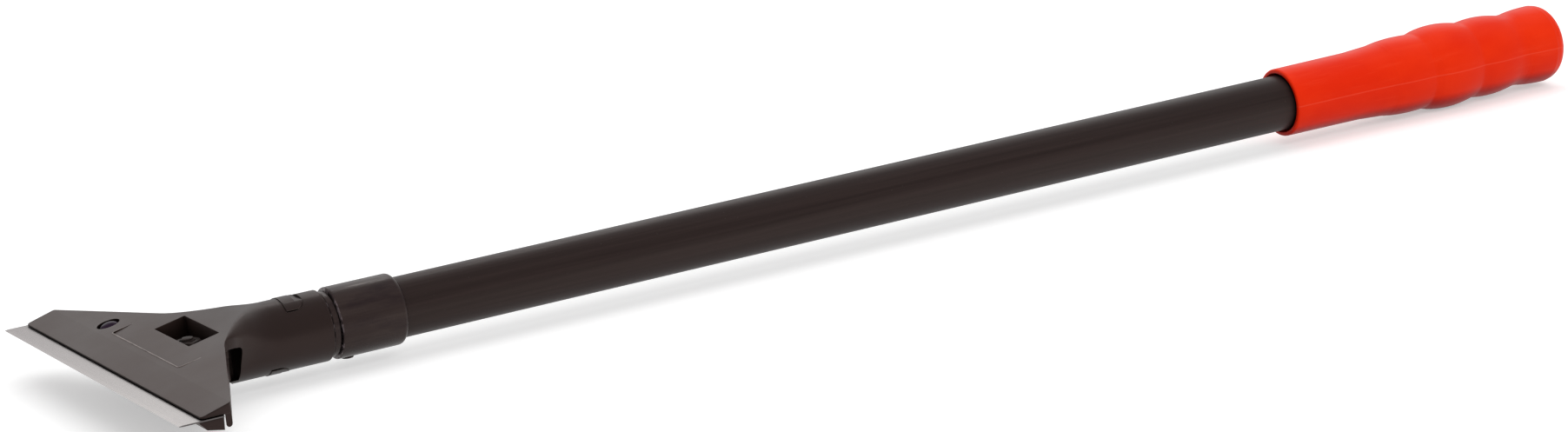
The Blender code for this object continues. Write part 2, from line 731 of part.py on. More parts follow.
def jaw_outline():
    # Plan of the jaw, nested inside the skirt
    start = jaw_front() - OVERRUN
    end = jaw_rear_edge(HALF_WIDTH)
    rear = jaw_rear() + OVERRUN
    half_rear = HALF_WIDTH - (rear - end) / TAPER_RISE
    return [(start, -HALF_WIDTH), (end, -HALF_WIDTH), (rear, -half_rear),
            (rear, half_rear), (end, HALF_WIDTH), (start, HALF_WIDTH)]


def jaw_rib(share):
    y = share * HALF_WIDTH
    rear = min(jaw_rear_edge(abs(y) + JAW_RIB_THICKNESS), jaw_rear()) - SLIDE_FIT
    plan = rectangle(BLADE_DEPTH - JAW_RIB_THICKNESS, rear,
                     y - JAW_RIB_THICKNESS / 2, y + JAW_RIB_THICKNESS / 2)
    return prism("jaw_rib", plan, lambda x, y: jaw_underside(x) + JAW_PLATE_THICKNESS / 2,
                 JAW_TOP - SLIDE_FIT)


def make_jaw(material):
    jaw = side_prism("clamp_jaw", jaw_section(), -HALF_WIDTH - OVERRUN, HALF_WIDTH + OVERRUN)
    below = jaw_underside(NECK_FRONT) - OVERRUN
    combine(jaw, prism("plan", jaw_outline(), below, JAW_TOP + OVERRUN), "INTERSECT")
    boss_top = WELL_FLOOR_UNDERSIDE - SLIDE_FIT
    join(jaw, post("boss", JAW_BOSS_RADIUS, washer_top(), boss_top, ROUND_STEPS, (SCREW_X, 0, 0)))
    for share in JAW_RIB_SHARES:
        join(jaw, jaw_rib(share), jaw_rib(-share))
    cut(jaw, post("screw_way", SCREW_RADIUS + FIT, below, boss_top + OVERRUN, SMALL_ROUND_STEPS,
                  (SCREW_X, 0, 0)))
    cut(jaw, post("spot_face", WASHER_RADIUS + FIT, below, washer_top() + FIT,
                  SMALL_ROUND_STEPS, (SCREW_X, 0, 0)))
    for side in (-1, 1):
        cut(jaw, post("guide_way", GUIDE_RADIUS + SLIDE_FIT, below, JAW_TOP + OVERRUN,
                      SMALL_ROUND_STEPS, (GUIDE_X, side * GUIDE_Y, 0)))
    return dress(jaw, material)


def washer_top():
    # The washer lies against the flat boss in the jaw's sloping underside
    return jaw_underside(SCREW_X + SCREW_RADIUS)


def make_washer(material):
    low = -WASHER_THICKNESS
    ring = [(low, SCREW_RADIUS + FIT), (low, WASHER_RADIUS), (0, WASHER_RADIUS),
            (0, SCREW_RADIUS + FIT)]
    washer = turned("clamp_washer", ring, SMALL_ROUND_STEPS, "Z", (SCREW_X, 0, washer_top()))
    return dress(washer, material)


def knob_top():
    return washer_top() - WASHER_THICKNESS - FIT


def make_knob(material):
    # A lobed thumb knob with a rounded rim and a collar that carries the washer
    height = KNOB_FOOT_LEVEL + knob_top()
    shoulder = height * KNOB_HUB_SHARE
    levels = [(-height, KNOB_EDGE), (-height + KNOB_EDGE, 0),
              (-shoulder - KNOB_EDGE, 0), (-shoulder, KNOB_EDGE)]
    steps = KNOB_LOBES * KNOB_STEPS_PER_LOBE
    sections = []
    for z, inset in levels:
        ring = []
        for i in range(steps):
            angle = 2 * math.pi * i / steps
            lobe = KNOB_LOBE_DEPTH * (1 - math.cos(KNOB_LOBES * angle)) / 2
            radius = KNOB_RADIUS - inset - lobe
            ring.append((radius * math.cos(angle), radius * math.sin(angle), z))
        sections.append(ring)
    knob = loft("clamp_knob", sections)
    join(knob, post("hub", WASHER_RADIUS - KNOB_EDGE, -height / 2, 0))
    cut(knob, post("socket", SCREW_RADIUS + FIT, -KNOB_SCREW_SOCKET, OVERRUN))
    knob.location = (SCREW_X, 0, knob_top())
    return dress(knob, material)


def make_screw(material):
    low = knob_top() - KNOB_SCREW_SOCKET + FIT
    high = nut_bottom() + NUT_HEIGHT + SCREW_REACH
    length = high - low
    radius = SCREW_RADIUS
    outline = [(0, 0), (0, radius), (length - SCREW_TIP_CHAMFER, radius),
               (length, radius - SCREW_TIP_CHAMFER), (length, 0)]
    screw = turned("clamp_screw", outline, SMALL_ROUND_STEPS, "Z", (SCREW_X, 0, low))
    return dress(screw, material)


def nut_bottom():
    return WELL_FLOOR_LEVEL + FIT


def make_nut(material):
    # A hexagon nut with chamfered corners
    flat = NUT_ACROSS_FLATS / 2
    corner = flat / math.cos(math.pi / 6)
    nut = prism("clamp_nut", circle(corner, 6), 0, NUT_HEIGHT, (SCREW_X, 0, nut_bottom()))
    chamfer = (corner - flat) * NUT_CROWN_SHARE
    crown = [(0, 0), (0, flat), (chamfer, corner), (NUT_HEIGHT - chamfer, corner),
             (NUT_HEIGHT, flat), (NUT_HEIGHT, 0)]
    combine(nut, turned("crown", crown, ROUND_STEPS, "Z", (SCREW_X, 0, nut_bottom())), "INTERSECT")
    cut(nut, post("thread", SCREW_RADIUS + FIT, -OVERRUN, NUT_HEIGHT + OVERRUN, SMALL_ROUND_STEPS,
                  (SCREW_X, 0, nut_bottom())))
    return dress(nut, material)


def guide_foot():
    # Both guide pins end just inside the jaw's underside
    return jaw_underside(GUIDE_X) + HEAD_EDGE


def make_guide_rivet(material):
    # A domed rivet in the seat on one side; its shank guides the jaw
    seat = -GUIDE_SEAT_DEPTH + FIT
    angles = [math.pi / 2 * i / ROUNDOVER_STEPS for i in range(ROUNDOVER_STEPS)]
    dome = [(seat + GUIDE_DOME_HEIGHT * math.sin(a), GUIDE_HEAD_RADIUS * math.cos(a))
            for a in angles]
    outline = dome + [(seat + GUIDE_DOME_HEIGHT, 0), (seat, 0)]
    rivet = stand_on_slope(turned("guide_rivet", outline, ROUND_STEPS, "Z"))
    root = slope_level(GUIDE_X) + seat + GUIDE_SHANK_ROOT
    join(rivet, post("shank", GUIDE_RADIUS, guide_foot(), root, SMALL_ROUND_STEPS,
                     (GUIDE_X, GUIDE_Y, 0)))
    return dress(rivet, material)


def make_guide_pin(material):
    pin = post("guide_pin", GUIDE_RADIUS, guide_foot(), SEAT_LEVEL + GUIDE_ROOT,
               SMALL_ROUND_STEPS, (GUIDE_X, -GUIDE_Y, 0))
    return dress(pin, material)


# Coupling

def make_spigot(material):
    # The hollow plug that joins the neck to the tube, with a web that carries the springs
    front = BORE_FRONT + SPIGOT_FRONT_GAP
    rear = TUBE_FRONT + SPIGOT_TAIL_LENGTH
    step = RING_REAR
    outline = [(front, SPIGOT_BORE_RADIUS), (front, SPIGOT_FRONT_RADIUS),
               (step, SPIGOT_FRONT_RADIUS), (step, SPIGOT_TAIL_RADIUS),
               (rear, SPIGOT_TAIL_RADIUS), (rear, SPIGOT_BORE_RADIUS - SPIGOT_CLEARANCE)]
    spigot = turned("spigot", outline)
    half = SPIGOT_WEB_THICKNESS / 2
    reach = SPIGOT_BORE_RADIUS + SPIGOT_WALL / 2
    web = prism("web", rectangle(front + SPIGOT_WALL, rear - SPIGOT_WALL, -reach, reach),
                -half, half)
    join(spigot, web)
    for side in (-1, 1):
        latch_front, latch_rear = latch_span(side)
        flat = LATCH_PAD_SEAT - LATCH_TRAVEL - FIT
        low, high = sorted((side * flat, side * (SPIGOT_FRONT_RADIUS + OVERRUN)))
        width = LATCH_WINDOW_WIDTH / 2
        cut(spigot, prism("pocket", rectangle(latch_front, latch_rear, -width, width), low, high))
        stem = LATCH_STEM_WIDTH / 2 + FIT
        low, high = sorted((side * half, side * SPIGOT_FRONT_RADIUS))
        cut(spigot, prism("slot", rectangle(latch_front, latch_rear, -stem, stem), low, high))
    cross = RIVET_RADIUS + FIT
    cut(spigot, post("rivet_way", cross, -SPIGOT_FRONT_RADIUS - OVERRUN, 0,
                     SMALL_ROUND_STEPS, (rivet_x(), 0, 0)))
    return dress(spigot, material)


def make_stop_ring(material):
    inner = SPIGOT_FRONT_RADIUS + FIT
    edge = STOP_RING_EDGE
    outer = STOP_RING_RADIUS
    outline = [(RING_FRONT, inner), (RING_FRONT, outer - edge), (RING_FRONT + edge, outer),
               (RING_REAR - edge, outer), (RING_REAR, outer - edge), (RING_REAR, inner)]
    return dress(turned("stop_ring", outline), material)


def make_latch(name, side, material):
    # A stepped pad that fills the neck's window, a stem through the coupling and a flange
    top = NECK_RADIUS + LATCH_PAD_RISE
    latch_front, latch_rear = latch_span(side)
    pad = prism(name, latch_outline(side, LATCH_CLEARANCE), LATCH_PAD_SEAT, top + OVERRUN)
    skin = [(latch_front, 0), (latch_front, top), (latch_rear, top), (latch_rear, 0)]
    combine(pad, turned("skin", skin), "INTERSECT")
    step = latch_front + LATCH_PAD_LENGTH
    half = LATCH_WINDOW_WIDTH / 2
    cut(pad, prism("step", rectangle(step, latch_rear, -half, half), top - LATCH_STEP_DROP,
                   top + OVERRUN))
    rear = latch_rear - LATCH_STEM_SETBACK
    front = latch_front + LATCH_CLEARANCE + FIT
    stem_half = LATCH_STEM_WIDTH / 2
    flange_half = LATCH_FLANGE_WIDTH / 2
    stem = prism("stem", rectangle(front, rear, -stem_half, stem_half),
                 FLANGE_TOP - LATCH_FLANGE_THICKNESS / 2, LATCH_PAD_SEAT + FIT)
    flange = prism("flange", rectangle(front - FIT, rear + FIT, -flange_half, flange_half),
                   FLANGE_UNDERSIDE, FLANGE_TOP)
    join(pad, stem, flange)
    if side < 0:
        pad.data.transform(Matrix.Rotation(math.pi, 4, "X"))
    return dress(pad, material)


def make_spring(name, side, material):
    # A coil spring between the coupling's web and the flange of a latch button
    low = SPIGOT_WEB_THICKNESS / 2 + FIT + SPRING_WIRE / 2
    high = FLANGE_UNDERSIDE - FIT - SPRING_WIRE / 2
    curve = bpy.data.curves.new(name, "CURVE")
    curve.dimensions = "3D"
    curve.bevel_depth = SPRING_WIRE / 2
    curve.bevel_resolution = 1
    curve.use_fill_caps = True
    count = SPRING_TURNS * SPRING_POINTS_PER_TURN + 1
    spline = curve.splines.new("POLY")
    spline.points.add(count - 1)
    middle = sum(latch_span(side)) / 2
    for i in range(count):
        share = i / (count - 1)
        angle = 2 * math.pi * SPRING_TURNS * share
        radius = SPRING_RADIUS - SPRING_WIRE / 2
        z = side * (low + (high - low) * share)
        spline.points[i].co = (middle + radius * math.cos(angle), radius * math.sin(angle), z, 1)
    spring = bpy.data.objects.new(name, curve)
    bpy.context.scene.collection.objects.link(spring)
    curve.materials.append(material)
    spring.parent = TOOL
    return spring


# Collar, tube and grip

def rivet_x():
    return COLLAR_FRONT + RIVET_SETBACK


def make_collar(material):
    bore = TUBE_RADIUS + FIT
    round_front = arc((COLLAR_FRONT + COLLAR_FRONT_ROUND, COLLAR_RADIUS - COLLAR_FRONT_ROUND),
                      COLLAR_FRONT_ROUND, math.pi, math.pi / 2, COLLAR_FRONT_STEPS)
    round_rear = arc((COLLAR_REAR - COLLAR_REAR_ROUND, COLLAR_RADIUS - COLLAR_REAR_ROUND),
                     COLLAR_REAR_ROUND, math.pi / 2, 0, ROUNDOVER_STEPS)
    outline = round_front + round_rear + [(COLLAR_REAR, bore), (COLLAR_FRONT, bore)]
    collar = turned("collar", outline)
    cut(collar, post("rivet_way", RIVET_RADIUS + FIT, -COLLAR_RADIUS - OVERRUN, 0,
                     SMALL_ROUND_STEPS, (rivet_x(), 0, 0)))
    return dress(collar, material)


def make_collar_rivet(material):
    # A low round head outside the collar and a shank through the collar, tube and coupling
    head_low = -COLLAR_RADIUS - FIT - RIVET_HEAD_HEIGHT
    edge = RIVET_HEAD_ROUND
    shank_end = -(SPIGOT_BORE_RADIUS - SPIGOT_CLEARANCE)
    outline = [(head_low, 0), (head_low, RIVET_HEAD_RADIUS - edge),
               (head_low + edge, RIVET_HEAD_RADIUS), (-COLLAR_RADIUS - FIT, RIVET_HEAD_RADIUS),
               (-COLLAR_RADIUS - FIT, RIVET_RADIUS), (shank_end, RIVET_RADIUS), (shank_end, 0)]
    rivet = turned("collar_rivet", outline, SMALL_ROUND_STEPS, "Z", (rivet_x(), 0, 0))
    return dress(rivet, material)


def make_tube(material):
    outline = [(TUBE_FRONT, TUBE_BORE_RADIUS), (TUBE_FRONT, TUBE_RADIUS),
               (TUBE_REAR, TUBE_RADIUS), (TUBE_REAR, TUBE_BORE_RADIUS)]
    tube = turned("tube", outline)
    cut(tube, post("rivet_way", RIVET_RADIUS + FIT, -TUBE_RADIUS - OVERRUN, 0,
                   SMALL_ROUND_STEPS, (rivet_x(), 0, 0)))
    return dress(tube, material)


def make_tube_plug(material):
    # A cap in the tube's rear end that keeps its edge off the grip
    front = TUBE_REAR - PLUG_LENGTH
    seat = TUBE_REAR + FIT
    outer = TUBE_BORE_RADIUS - FIT
    outline = [(front, PLUG_BORE_RADIUS), (front, outer), (seat, outer), (seat, TUBE_RADIUS),
               (seat + PLUG_FLANGE, TUBE_RADIUS), (seat + PLUG_FLANGE, 0), (seat, 0),
               (seat, PLUG_BORE_RADIUS)]
    return dress(turned("tube_plug", outline), material)


def grip_outer_profile():
    # The mouth, then swells that each start with a step up from the crease before
    points = []
    start = 0.0
    for number, (end, wall_start, wall_crest, wall_end) in enumerate(GRIP_SWELL_SHARES):
        steps = GRIP_STEPS_PER_SWELL if number else GRIP_TAPER_STEPS
        for i in range(steps + 1):
            share = i / steps
            line = wall_start + (wall_end - wall_start) * share
            bow = wall_crest - (wall_start + wall_end) / 2
            wall = line + bow * math.sin(math.pi * share) if number else line
            along = GRIP_FRONT + GRIP_LENGTH * (start + (end - start) * share)
            if i == 0 and number:
                along += GRIP_LENGTH * GRIP_STEP_SHARE
            points.append((along, TUBE_RADIUS + GRIP_CREST_THICKNESS * wall))
        start = end
    return points


def make_grip(material):
    outer = grip_outer_profile()
    mouth = TUBE_RADIUS + GRIP_MOUTH_THICKNESS
    round_mouth = arc((GRIP_FRONT + GRIP_MOUTH_ROUND, mouth - GRIP_MOUTH_ROUND), GRIP_MOUTH_ROUND,
                      math.pi, math.pi / 2, CORNER_STEPS)
    last = outer[-1][1]
    body = [p for p in outer[1:] if p[0] < GRIP_REAR - GRIP_END_ROUND]
    round_end = arc((GRIP_REAR - GRIP_END_ROUND, last - GRIP_END_ROUND), GRIP_END_ROUND,
                    math.pi / 2, 0, ROUNDOVER_STEPS)
    bore = TUBE_RADIUS + FIT
    inside = [(GRIP_REAR, 0), (GRIP_REAR - GRIP_END_WALL, 0), (GRIP_REAR - GRIP_END_WALL, bore),
              (GRIP_FRONT + GRIP_MOUTH_FLARE_LENGTH, bore), (GRIP_FRONT, bore + GRIP_MOUTH_FLARE)]
    grip = turned("grip", round_mouth + body + round_end + inside)
    return dress(grip, material)


def dress(thing, material):
    thing.data.materials.clear()
    thing.data.materials.append(material)
    shade_round(thing)
    thing.parent = TOOL
    return thing


clear_scene()
TOOL = bpy.data.objects.new("tool_frame", None)
bpy.context.scene.collection.objects.link(TOOL)
TOOL.location = (-GRIP_REAR / 2, 0, REST_HEIGHT)

HEAD_BLACK = make_material("head_black", (0.055, 0.044, 0.041), 0.42)
TUBE_BLACK = make_material("tube_black", (0.038, 0.031, 0.028), 0.30)
COLLAR_BLACK = make_material("collar_black", (0.040, 0.032, 0.032), 0.36)
GRIP_RED = make_material("grip_red", (0.78, 0.035, 0.010), 0.34)
BLADE_STEEL = make_material("blade_steel", (0.47, 0.42, 0.42), 0.35, 0.6)
ZINC = make_material("zinc_plated", (0.42, 0.41, 0.40), 0.3, 0.9)
RIVET_BLACK = make_material("rivet_black", (0.02, 0.015, 0.02), 0.12, 0.3)
INNER_PLASTIC = make_material("inner_plastic", (0.03, 0.03, 0.03), 0.5)

make_head(HEAD_BLACK)
make_blade(BLADE_STEEL)
make_jaw(HEAD_BLACK)
make_washer(ZINC)
make_knob(INNER_PLASTIC)
make_screw(ZINC)
make_nut(ZINC)
make_guide_rivet(RIVET_BLACK)
make_guide_pin(ZINC)
make_spigot(INNER_PLASTIC)
make_stop_ring(COLLAR_BLACK)
make_latch("latch_button_upper", 1, HEAD_BLACK)
make_latch("latch_button_lower", -1, HEAD_BLACK)
make_spring("latch_spring_upper", 1, ZINC)
make_spring("latch_spring_lower", -1, ZINC)
make_collar(COLLAR_BLACK)
make_collar_rivet(RIVET_BLACK)
make_tube(TUBE_BLACK)
make_tube_plug(INNER_PLASTIC)
make_grip(GRIP_RED)
bpy.context.view_layer.update()
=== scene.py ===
import json
import math

import bmesh
import bpy
from mathutils import Matrix, Quaternion, Vector

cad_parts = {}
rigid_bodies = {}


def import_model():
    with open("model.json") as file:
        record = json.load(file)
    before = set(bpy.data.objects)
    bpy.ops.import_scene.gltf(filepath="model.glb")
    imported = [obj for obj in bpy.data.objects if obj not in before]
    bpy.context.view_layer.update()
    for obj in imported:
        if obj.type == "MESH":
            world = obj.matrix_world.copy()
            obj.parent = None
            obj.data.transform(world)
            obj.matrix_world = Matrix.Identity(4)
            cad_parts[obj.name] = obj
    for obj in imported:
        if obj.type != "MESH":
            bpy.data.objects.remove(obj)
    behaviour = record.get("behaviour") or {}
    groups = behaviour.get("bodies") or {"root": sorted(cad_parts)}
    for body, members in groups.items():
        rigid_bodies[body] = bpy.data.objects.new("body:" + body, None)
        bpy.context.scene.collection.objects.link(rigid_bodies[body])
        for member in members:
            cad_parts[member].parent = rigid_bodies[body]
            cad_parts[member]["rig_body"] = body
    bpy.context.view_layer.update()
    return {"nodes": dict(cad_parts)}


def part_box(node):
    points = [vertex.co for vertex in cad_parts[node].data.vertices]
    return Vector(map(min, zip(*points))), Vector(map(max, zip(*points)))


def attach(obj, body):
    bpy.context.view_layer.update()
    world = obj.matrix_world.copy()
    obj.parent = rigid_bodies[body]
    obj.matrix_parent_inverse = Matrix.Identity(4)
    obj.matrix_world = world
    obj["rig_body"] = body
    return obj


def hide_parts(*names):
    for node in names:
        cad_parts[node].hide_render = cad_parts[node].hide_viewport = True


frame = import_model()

# Places in the frame, in metres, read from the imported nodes
NODES = frame["nodes"]
HEAD_LOW, HEAD_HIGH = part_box("head_body")
TUBE_LOW, TUBE_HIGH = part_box("tube")
COLLAR_LOW, COLLAR_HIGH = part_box("collar")
RING_LOW, RING_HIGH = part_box("stop_ring")
GRIP_LOW, GRIP_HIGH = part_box("grip")
SCREW_LOW, SCREW_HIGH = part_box("clamp_screw")
BLADE_LOW, BLADE_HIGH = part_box("blade")
AXIS_LEVEL = (TUBE_LOW.z + TUBE_HIGH.z) / 2
TUBE_RADIUS = (TUBE_HIGH.z - TUBE_LOW.z) / 2

# Camera
CAMERA_SETBACK = 0.471336    # along X, from the blade's cutting edge
CAMERA_PLACE = (BLADE_LOW.x - CAMERA_SETBACK, -1.484447, 0.418886)
CAMERA_FORWARD = (0.45441, 0.86031, -0.23103)
CAMERA_ROLL = math.radians(-6.11)
FOCAL_PIXELS = 4675
IMAGE_WIDTH = 1804
SENSOR_WIDTH = 36.0

# Finishing of the copied solids
EDGE_SEGMENTS = 2
JAW_EDGE = 0.0003
WASHER_EDGE = 0.0001
MERGE_DISTANCE = 1e-6
FLAT_ANGLE = math.radians(0.3)
SHARP_ANGLE = math.radians(32)
BEVEL_ANGLE = math.radians(38)

# Head, in the tool's own places: X from the cutting edge, Z from the tube's axis
FIT = 0.0003
OVERRUN = 0.002              # how far a cutter runs past the face it cuts
EDGE_X = BLADE_LOW.x
HEAD_FRONT = HEAD_LOW.x - EDGE_X
HALF_WIDTH = HEAD_HIGH.y
NECK_END = HEAD_HIGH.x - EDGE_X
NECK_RADIUS = HEAD_HIGH.z - AXIS_LEVEL
SEAT_LEVEL = BLADE_HIGH.z - AXIS_LEVEL + FIT
JAW_TOP = BLADE_LOW.z - AXIS_LEVEL - FIT
BLADE_DEPTH = BLADE_HIGH.x - BLADE_LOW.x
HEAD_SLOPE = math.radians(11.8)
HEAD_LIP = 0.0007
SHOULDER_HEIGHT = 0.0041
HEAD_CORNER = 0.0016
HEAD_SHOULDER = 0.0015
HEAD_TAPER = math.radians(20.3)
HEAD_FLARE = 0.033
HEAD_EDGE = 0.0005
HEAD_SLIVER = 0.0002
PLATE_THICKNESS = 0.003
SKIRT_THICKNESS = 0.0024
SKIRT_SETBACK = 0.0003
SKIRT_INSET = 0.00015
SKIRT_FRONT_LEVEL = 0.0038
UNDERSIDE_SLOPE = math.radians(11.5)
BACK_STOP_THICKNESS = 0.0024
RIB_THICKNESS = 0.002
RIB_SHARES = (0.34, 0.60)
WINDOW_WIDTH = 0.038
WINDOW_DEPTH = 0.0132
WINDOW_TO_NECK = 0.00205
WELL_WALL = 0.0018
BLOCK_TO_WELL = 0.0009
WELL_FLOOR_LEVEL = 0.003
WELL_FLOOR_THICKNESS = 0.0018
PANEL_WIDTH = 0.075
PANEL_TO_WINDOW = 0.0012
PANEL_LENGTH = 0.0105
PANEL_DEPTH = 0.0005
PANEL_CORNER = 0.0016
PANEL_RUNOUT_SHARE = 0.9     # of the depth is lost towards the window
RIM_HALF_WIDTH = 0.00028     # bead along the panel's edge
RIM_HEIGHT = 0.00013
NECK_BORE_RADIUS = 0.0122
NECK_CHAMFER = 0.0005
NECK_FRONT_WALL = 0.0112
CROWN_SOFTNESS = 0.0016
FILLET_SOFTNESS = 0.0026
POCKET_LENGTH = 0.007
HAUNCH_SLOPE = math.radians(28)
NECK_CHIN = math.radians(40)
CHEEK_SETBACK = 0.0016       # recess in the neck's side, from the neck's front
CHEEK_LENGTH = 0.0052
CHEEK_DEPTH = 0.011
CHEEK_TOP = 0.0042
GUIDE_FROM_END = 0.0487
GUIDE_SETBACK = 0.0185
GUIDE_RADIUS = 0.0028
GUIDE_HEAD_RADIUS = 0.0045
GUIDE_SEAT_DEPTH = 0.0027
GUIDE_ROOT = 0.003
SCREW_RADIUS = (SCREW_HIGH.x - SCREW_LOW.x) / 2
LATCH_SETBACK = 0.0085
LATCH_STAGGER = 0.0095
LATCH_WINDOW_LENGTH = 0.0088
LATCH_WINDOW_WIDTH = 0.0196
LATCH_WINDOW_CORNER = 0.0052
LATCH_CLEARANCE = 0.00006
LATCH_PAD_LENGTH = 0.0054
LATCH_PAD_RISE = 0.0003
LATCH_STEP_DROP = 0.0012
LATCH_STEM_SETBACK = 0.0016
LATCH_STEM_WIDTH = 0.009
LATCH_FLANGE_WIDTH = 0.0125
LATCH_FLANGE_THICKNESS = 0.0012
LATCH_PAD_SINK = 0.0009      # how far the pad reaches into the bore
GUIDE_DOME_HEIGHT = 0.0029

# Places on the head that follow from its sizes
SKIRT_SPAN = SKIRT_THICKNESS / math.cos(HEAD_TAPER)
STRIP_END = BLADE_DEPTH + FIT + SKIRT_SETBACK + SKIRT_SPAN + SKIRT_INSET
TAPER_RISE = math.tan(HEAD_TAPER)
TAPER_MEETS_NECK = STRIP_END + (HALF_WIDTH - NECK_RADIUS) * TAPER_RISE
NECK_FRONT = TAPER_MEETS_NECK - SKIRT_THICKNESS / 2
BORE_FRONT = NECK_FRONT + NECK_FRONT_WALL
WINDOW_FRONT = NECK_FRONT - WINDOW_TO_NECK - WINDOW_DEPTH
WELL_FRONT = WINDOW_FRONT - WELL_WALL
BLOCK_END = WELL_FRONT - BLOCK_TO_WELL
WELL_FLOOR_UNDERSIDE = WELL_FLOOR_LEVEL - WELL_FLOOR_THICKNESS
SCREW_X = WINDOW_FRONT + WINDOW_DEPTH / 2 - FIT
GUIDE_X = HEAD_FRONT + GUIDE_SETBACK
GUIDE_Y = HALF_WIDTH - GUIDE_FROM_END
PANEL_FRONT = WINDOW_FRONT - PANEL_TO_WINDOW - PANEL_LENGTH
LATCH_PAD_SEAT = NECK_BORE_RADIUS - LATCH_PAD_SINK
LATCH_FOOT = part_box("latch_button_upper")[0].z - AXIS_LEVEL

# Facets of the head
CORNER_STEPS = 8
FLARE_STEPS = 36
ROUNDOVER_STEPS = 12
SECTION_TOP_STEPS = 6
SECTION_ARC_STEPS = 16
SECTION_LOWER_STEPS = 36
SECTION_CORNER_SPREAD = math.radians(3)
SECTION_POCKET_STEP = math.radians(0.2)
DOME_STEPS = 20
ROUND_STEPS = 96
TINY = 1e-9                  # keeps a divisor away from zero

# Ring, collar and tube
RING_EDGE = 0.0006
COLLAR_FRONT_ROUND = 0.0006
COLLAR_REAR_ROUND = 0.0021
TUBE_WALL = 0.0012
TUBE_EDGE = 0.0002
COLLAR_RIVET_RADIUS = 0.0026
COLLAR_RIVET_ROUND = 0.0003
COLLAR_RIVET_SETBACK = 0.0003
COLLAR_RIVET_SHANK = 0.0018
EDGE_STEPS = 6

# Grip
GRIP_WALL_FREE = 0.0003      # between the tube and the grip's bore
GRIP_MOUTH_WALL = 0.003
GRIP_CREST_WALL = 0.007
GRIP_MOUTH_ROUND = 0.0011
GRIP_MOUTH_FLARE = 0.0009
GRIP_MOUTH_FLARE_LENGTH = 0.003
GRIP_END_ROUND = 0.0062
GRIP_STEP_SHARE = 0.012
GRIP_CREASE_REACH = 0.0024
# Each swell, after the straight mouth: where it ends, then its wall at start, crest and end
GRIP_SWELL_SHARES = (
    (0.348, 0.425, 0.470, 0.470),
    (0.509, 0.590, 0.750, 0.690),
    (0.688, 0.820, 1.000, 0.700),
    (0.842, 0.780, 0.850, 0.580),
    (1.000, 0.590, 0.780, 0.770),
)
GRIP_STEPS_PER_SWELL = 30
GRIP_TAPER_STEPS = 4
GRIP_MOUTH_STEPS = 6
GRIP_END_STEPS = 10
SEAM_HEIGHT = 0.00012
SEAM_SOFTNESS = 0.0004
SEAM_SHARE = 0.35
SEAM_HALF_ANGLE = math.radians(1.6)
FINE_STEPS = 120

# Screw thread
THREAD_PITCH = 0.001
THREAD_DEPTH = 0.00055
THREAD_STEPS = 24
THREAD_LEVELS_PER_TURN = 6

# Materials: how far the painted shade of a recess reaches, how wide an edge carries wear and
# painted highlights, and how high the relief is
RECESS_SAMPLES = 6
EDGE_SAMPLES = 4
WIDE_RECESS = 0.010
TUBE_RECESS = 0.004
NARROW_RECESS = 0.003
HEAD_EDGE_WEAR_GLINT = 0.00035
COLLAR_EDGE_GLINT = 0.0004
GRAIN_HEIGHT = 0.00004
LINE_HEIGHT = 0.00003
STEEL_LINE_HEIGHT = 0.00001
HEAD_WAVE_HEIGHT = 0.0006
TUBE_WAVE_HEIGHT = 0.0005
GRIP_WAVE_HEIGHT = 0.0010

# Studio
WORLD_STRENGTH = 0.5
FLOOR_COLOUR = (0.76, 0.76, 0.76)
FLOOR_LIFT = 0.42
FLOOR_HALF = 6.0
FLOOR_GAP = 0.0002
LAMPS = (                    # name, place, target, size, radiance, seen in reflections
    ("back", (0.9, 2.3, 1.5), (-0.05, 0, 0), (3.6, 1.9), 0.74, True),
    ("overhead", (0.2, 0.3, 1.9), (0, 0, 0), (3.0, 1.6), 1.0, False),
    ("front", (-0.1, -3.0, 2.0), (0, 0, 0), (2.2, 1.8), 4.1, False),
    ("spark", (0.9, 2.0, 2.3), (-0.25, 0, 0), (0.10, 0.10), 90.0, True),
)


# Node helpers

def fill(node, inputs):
    # Sets each input to a value or links it to an output, and gives the node's own outputs
    for socket, value in inputs.items():
        if isinstance(value, bpy.types.NodeSocket):
            node.id_data.links.new(value, node.inputs[socket])
        else:
            node.inputs[socket].default_value = value
    return node.outputs


def calculation(nodes, operation, first, second):
    node = nodes.new("ShaderNodeMath")
    node.operation = operation
    return fill(node, {0: first, 1: second})["Value"]


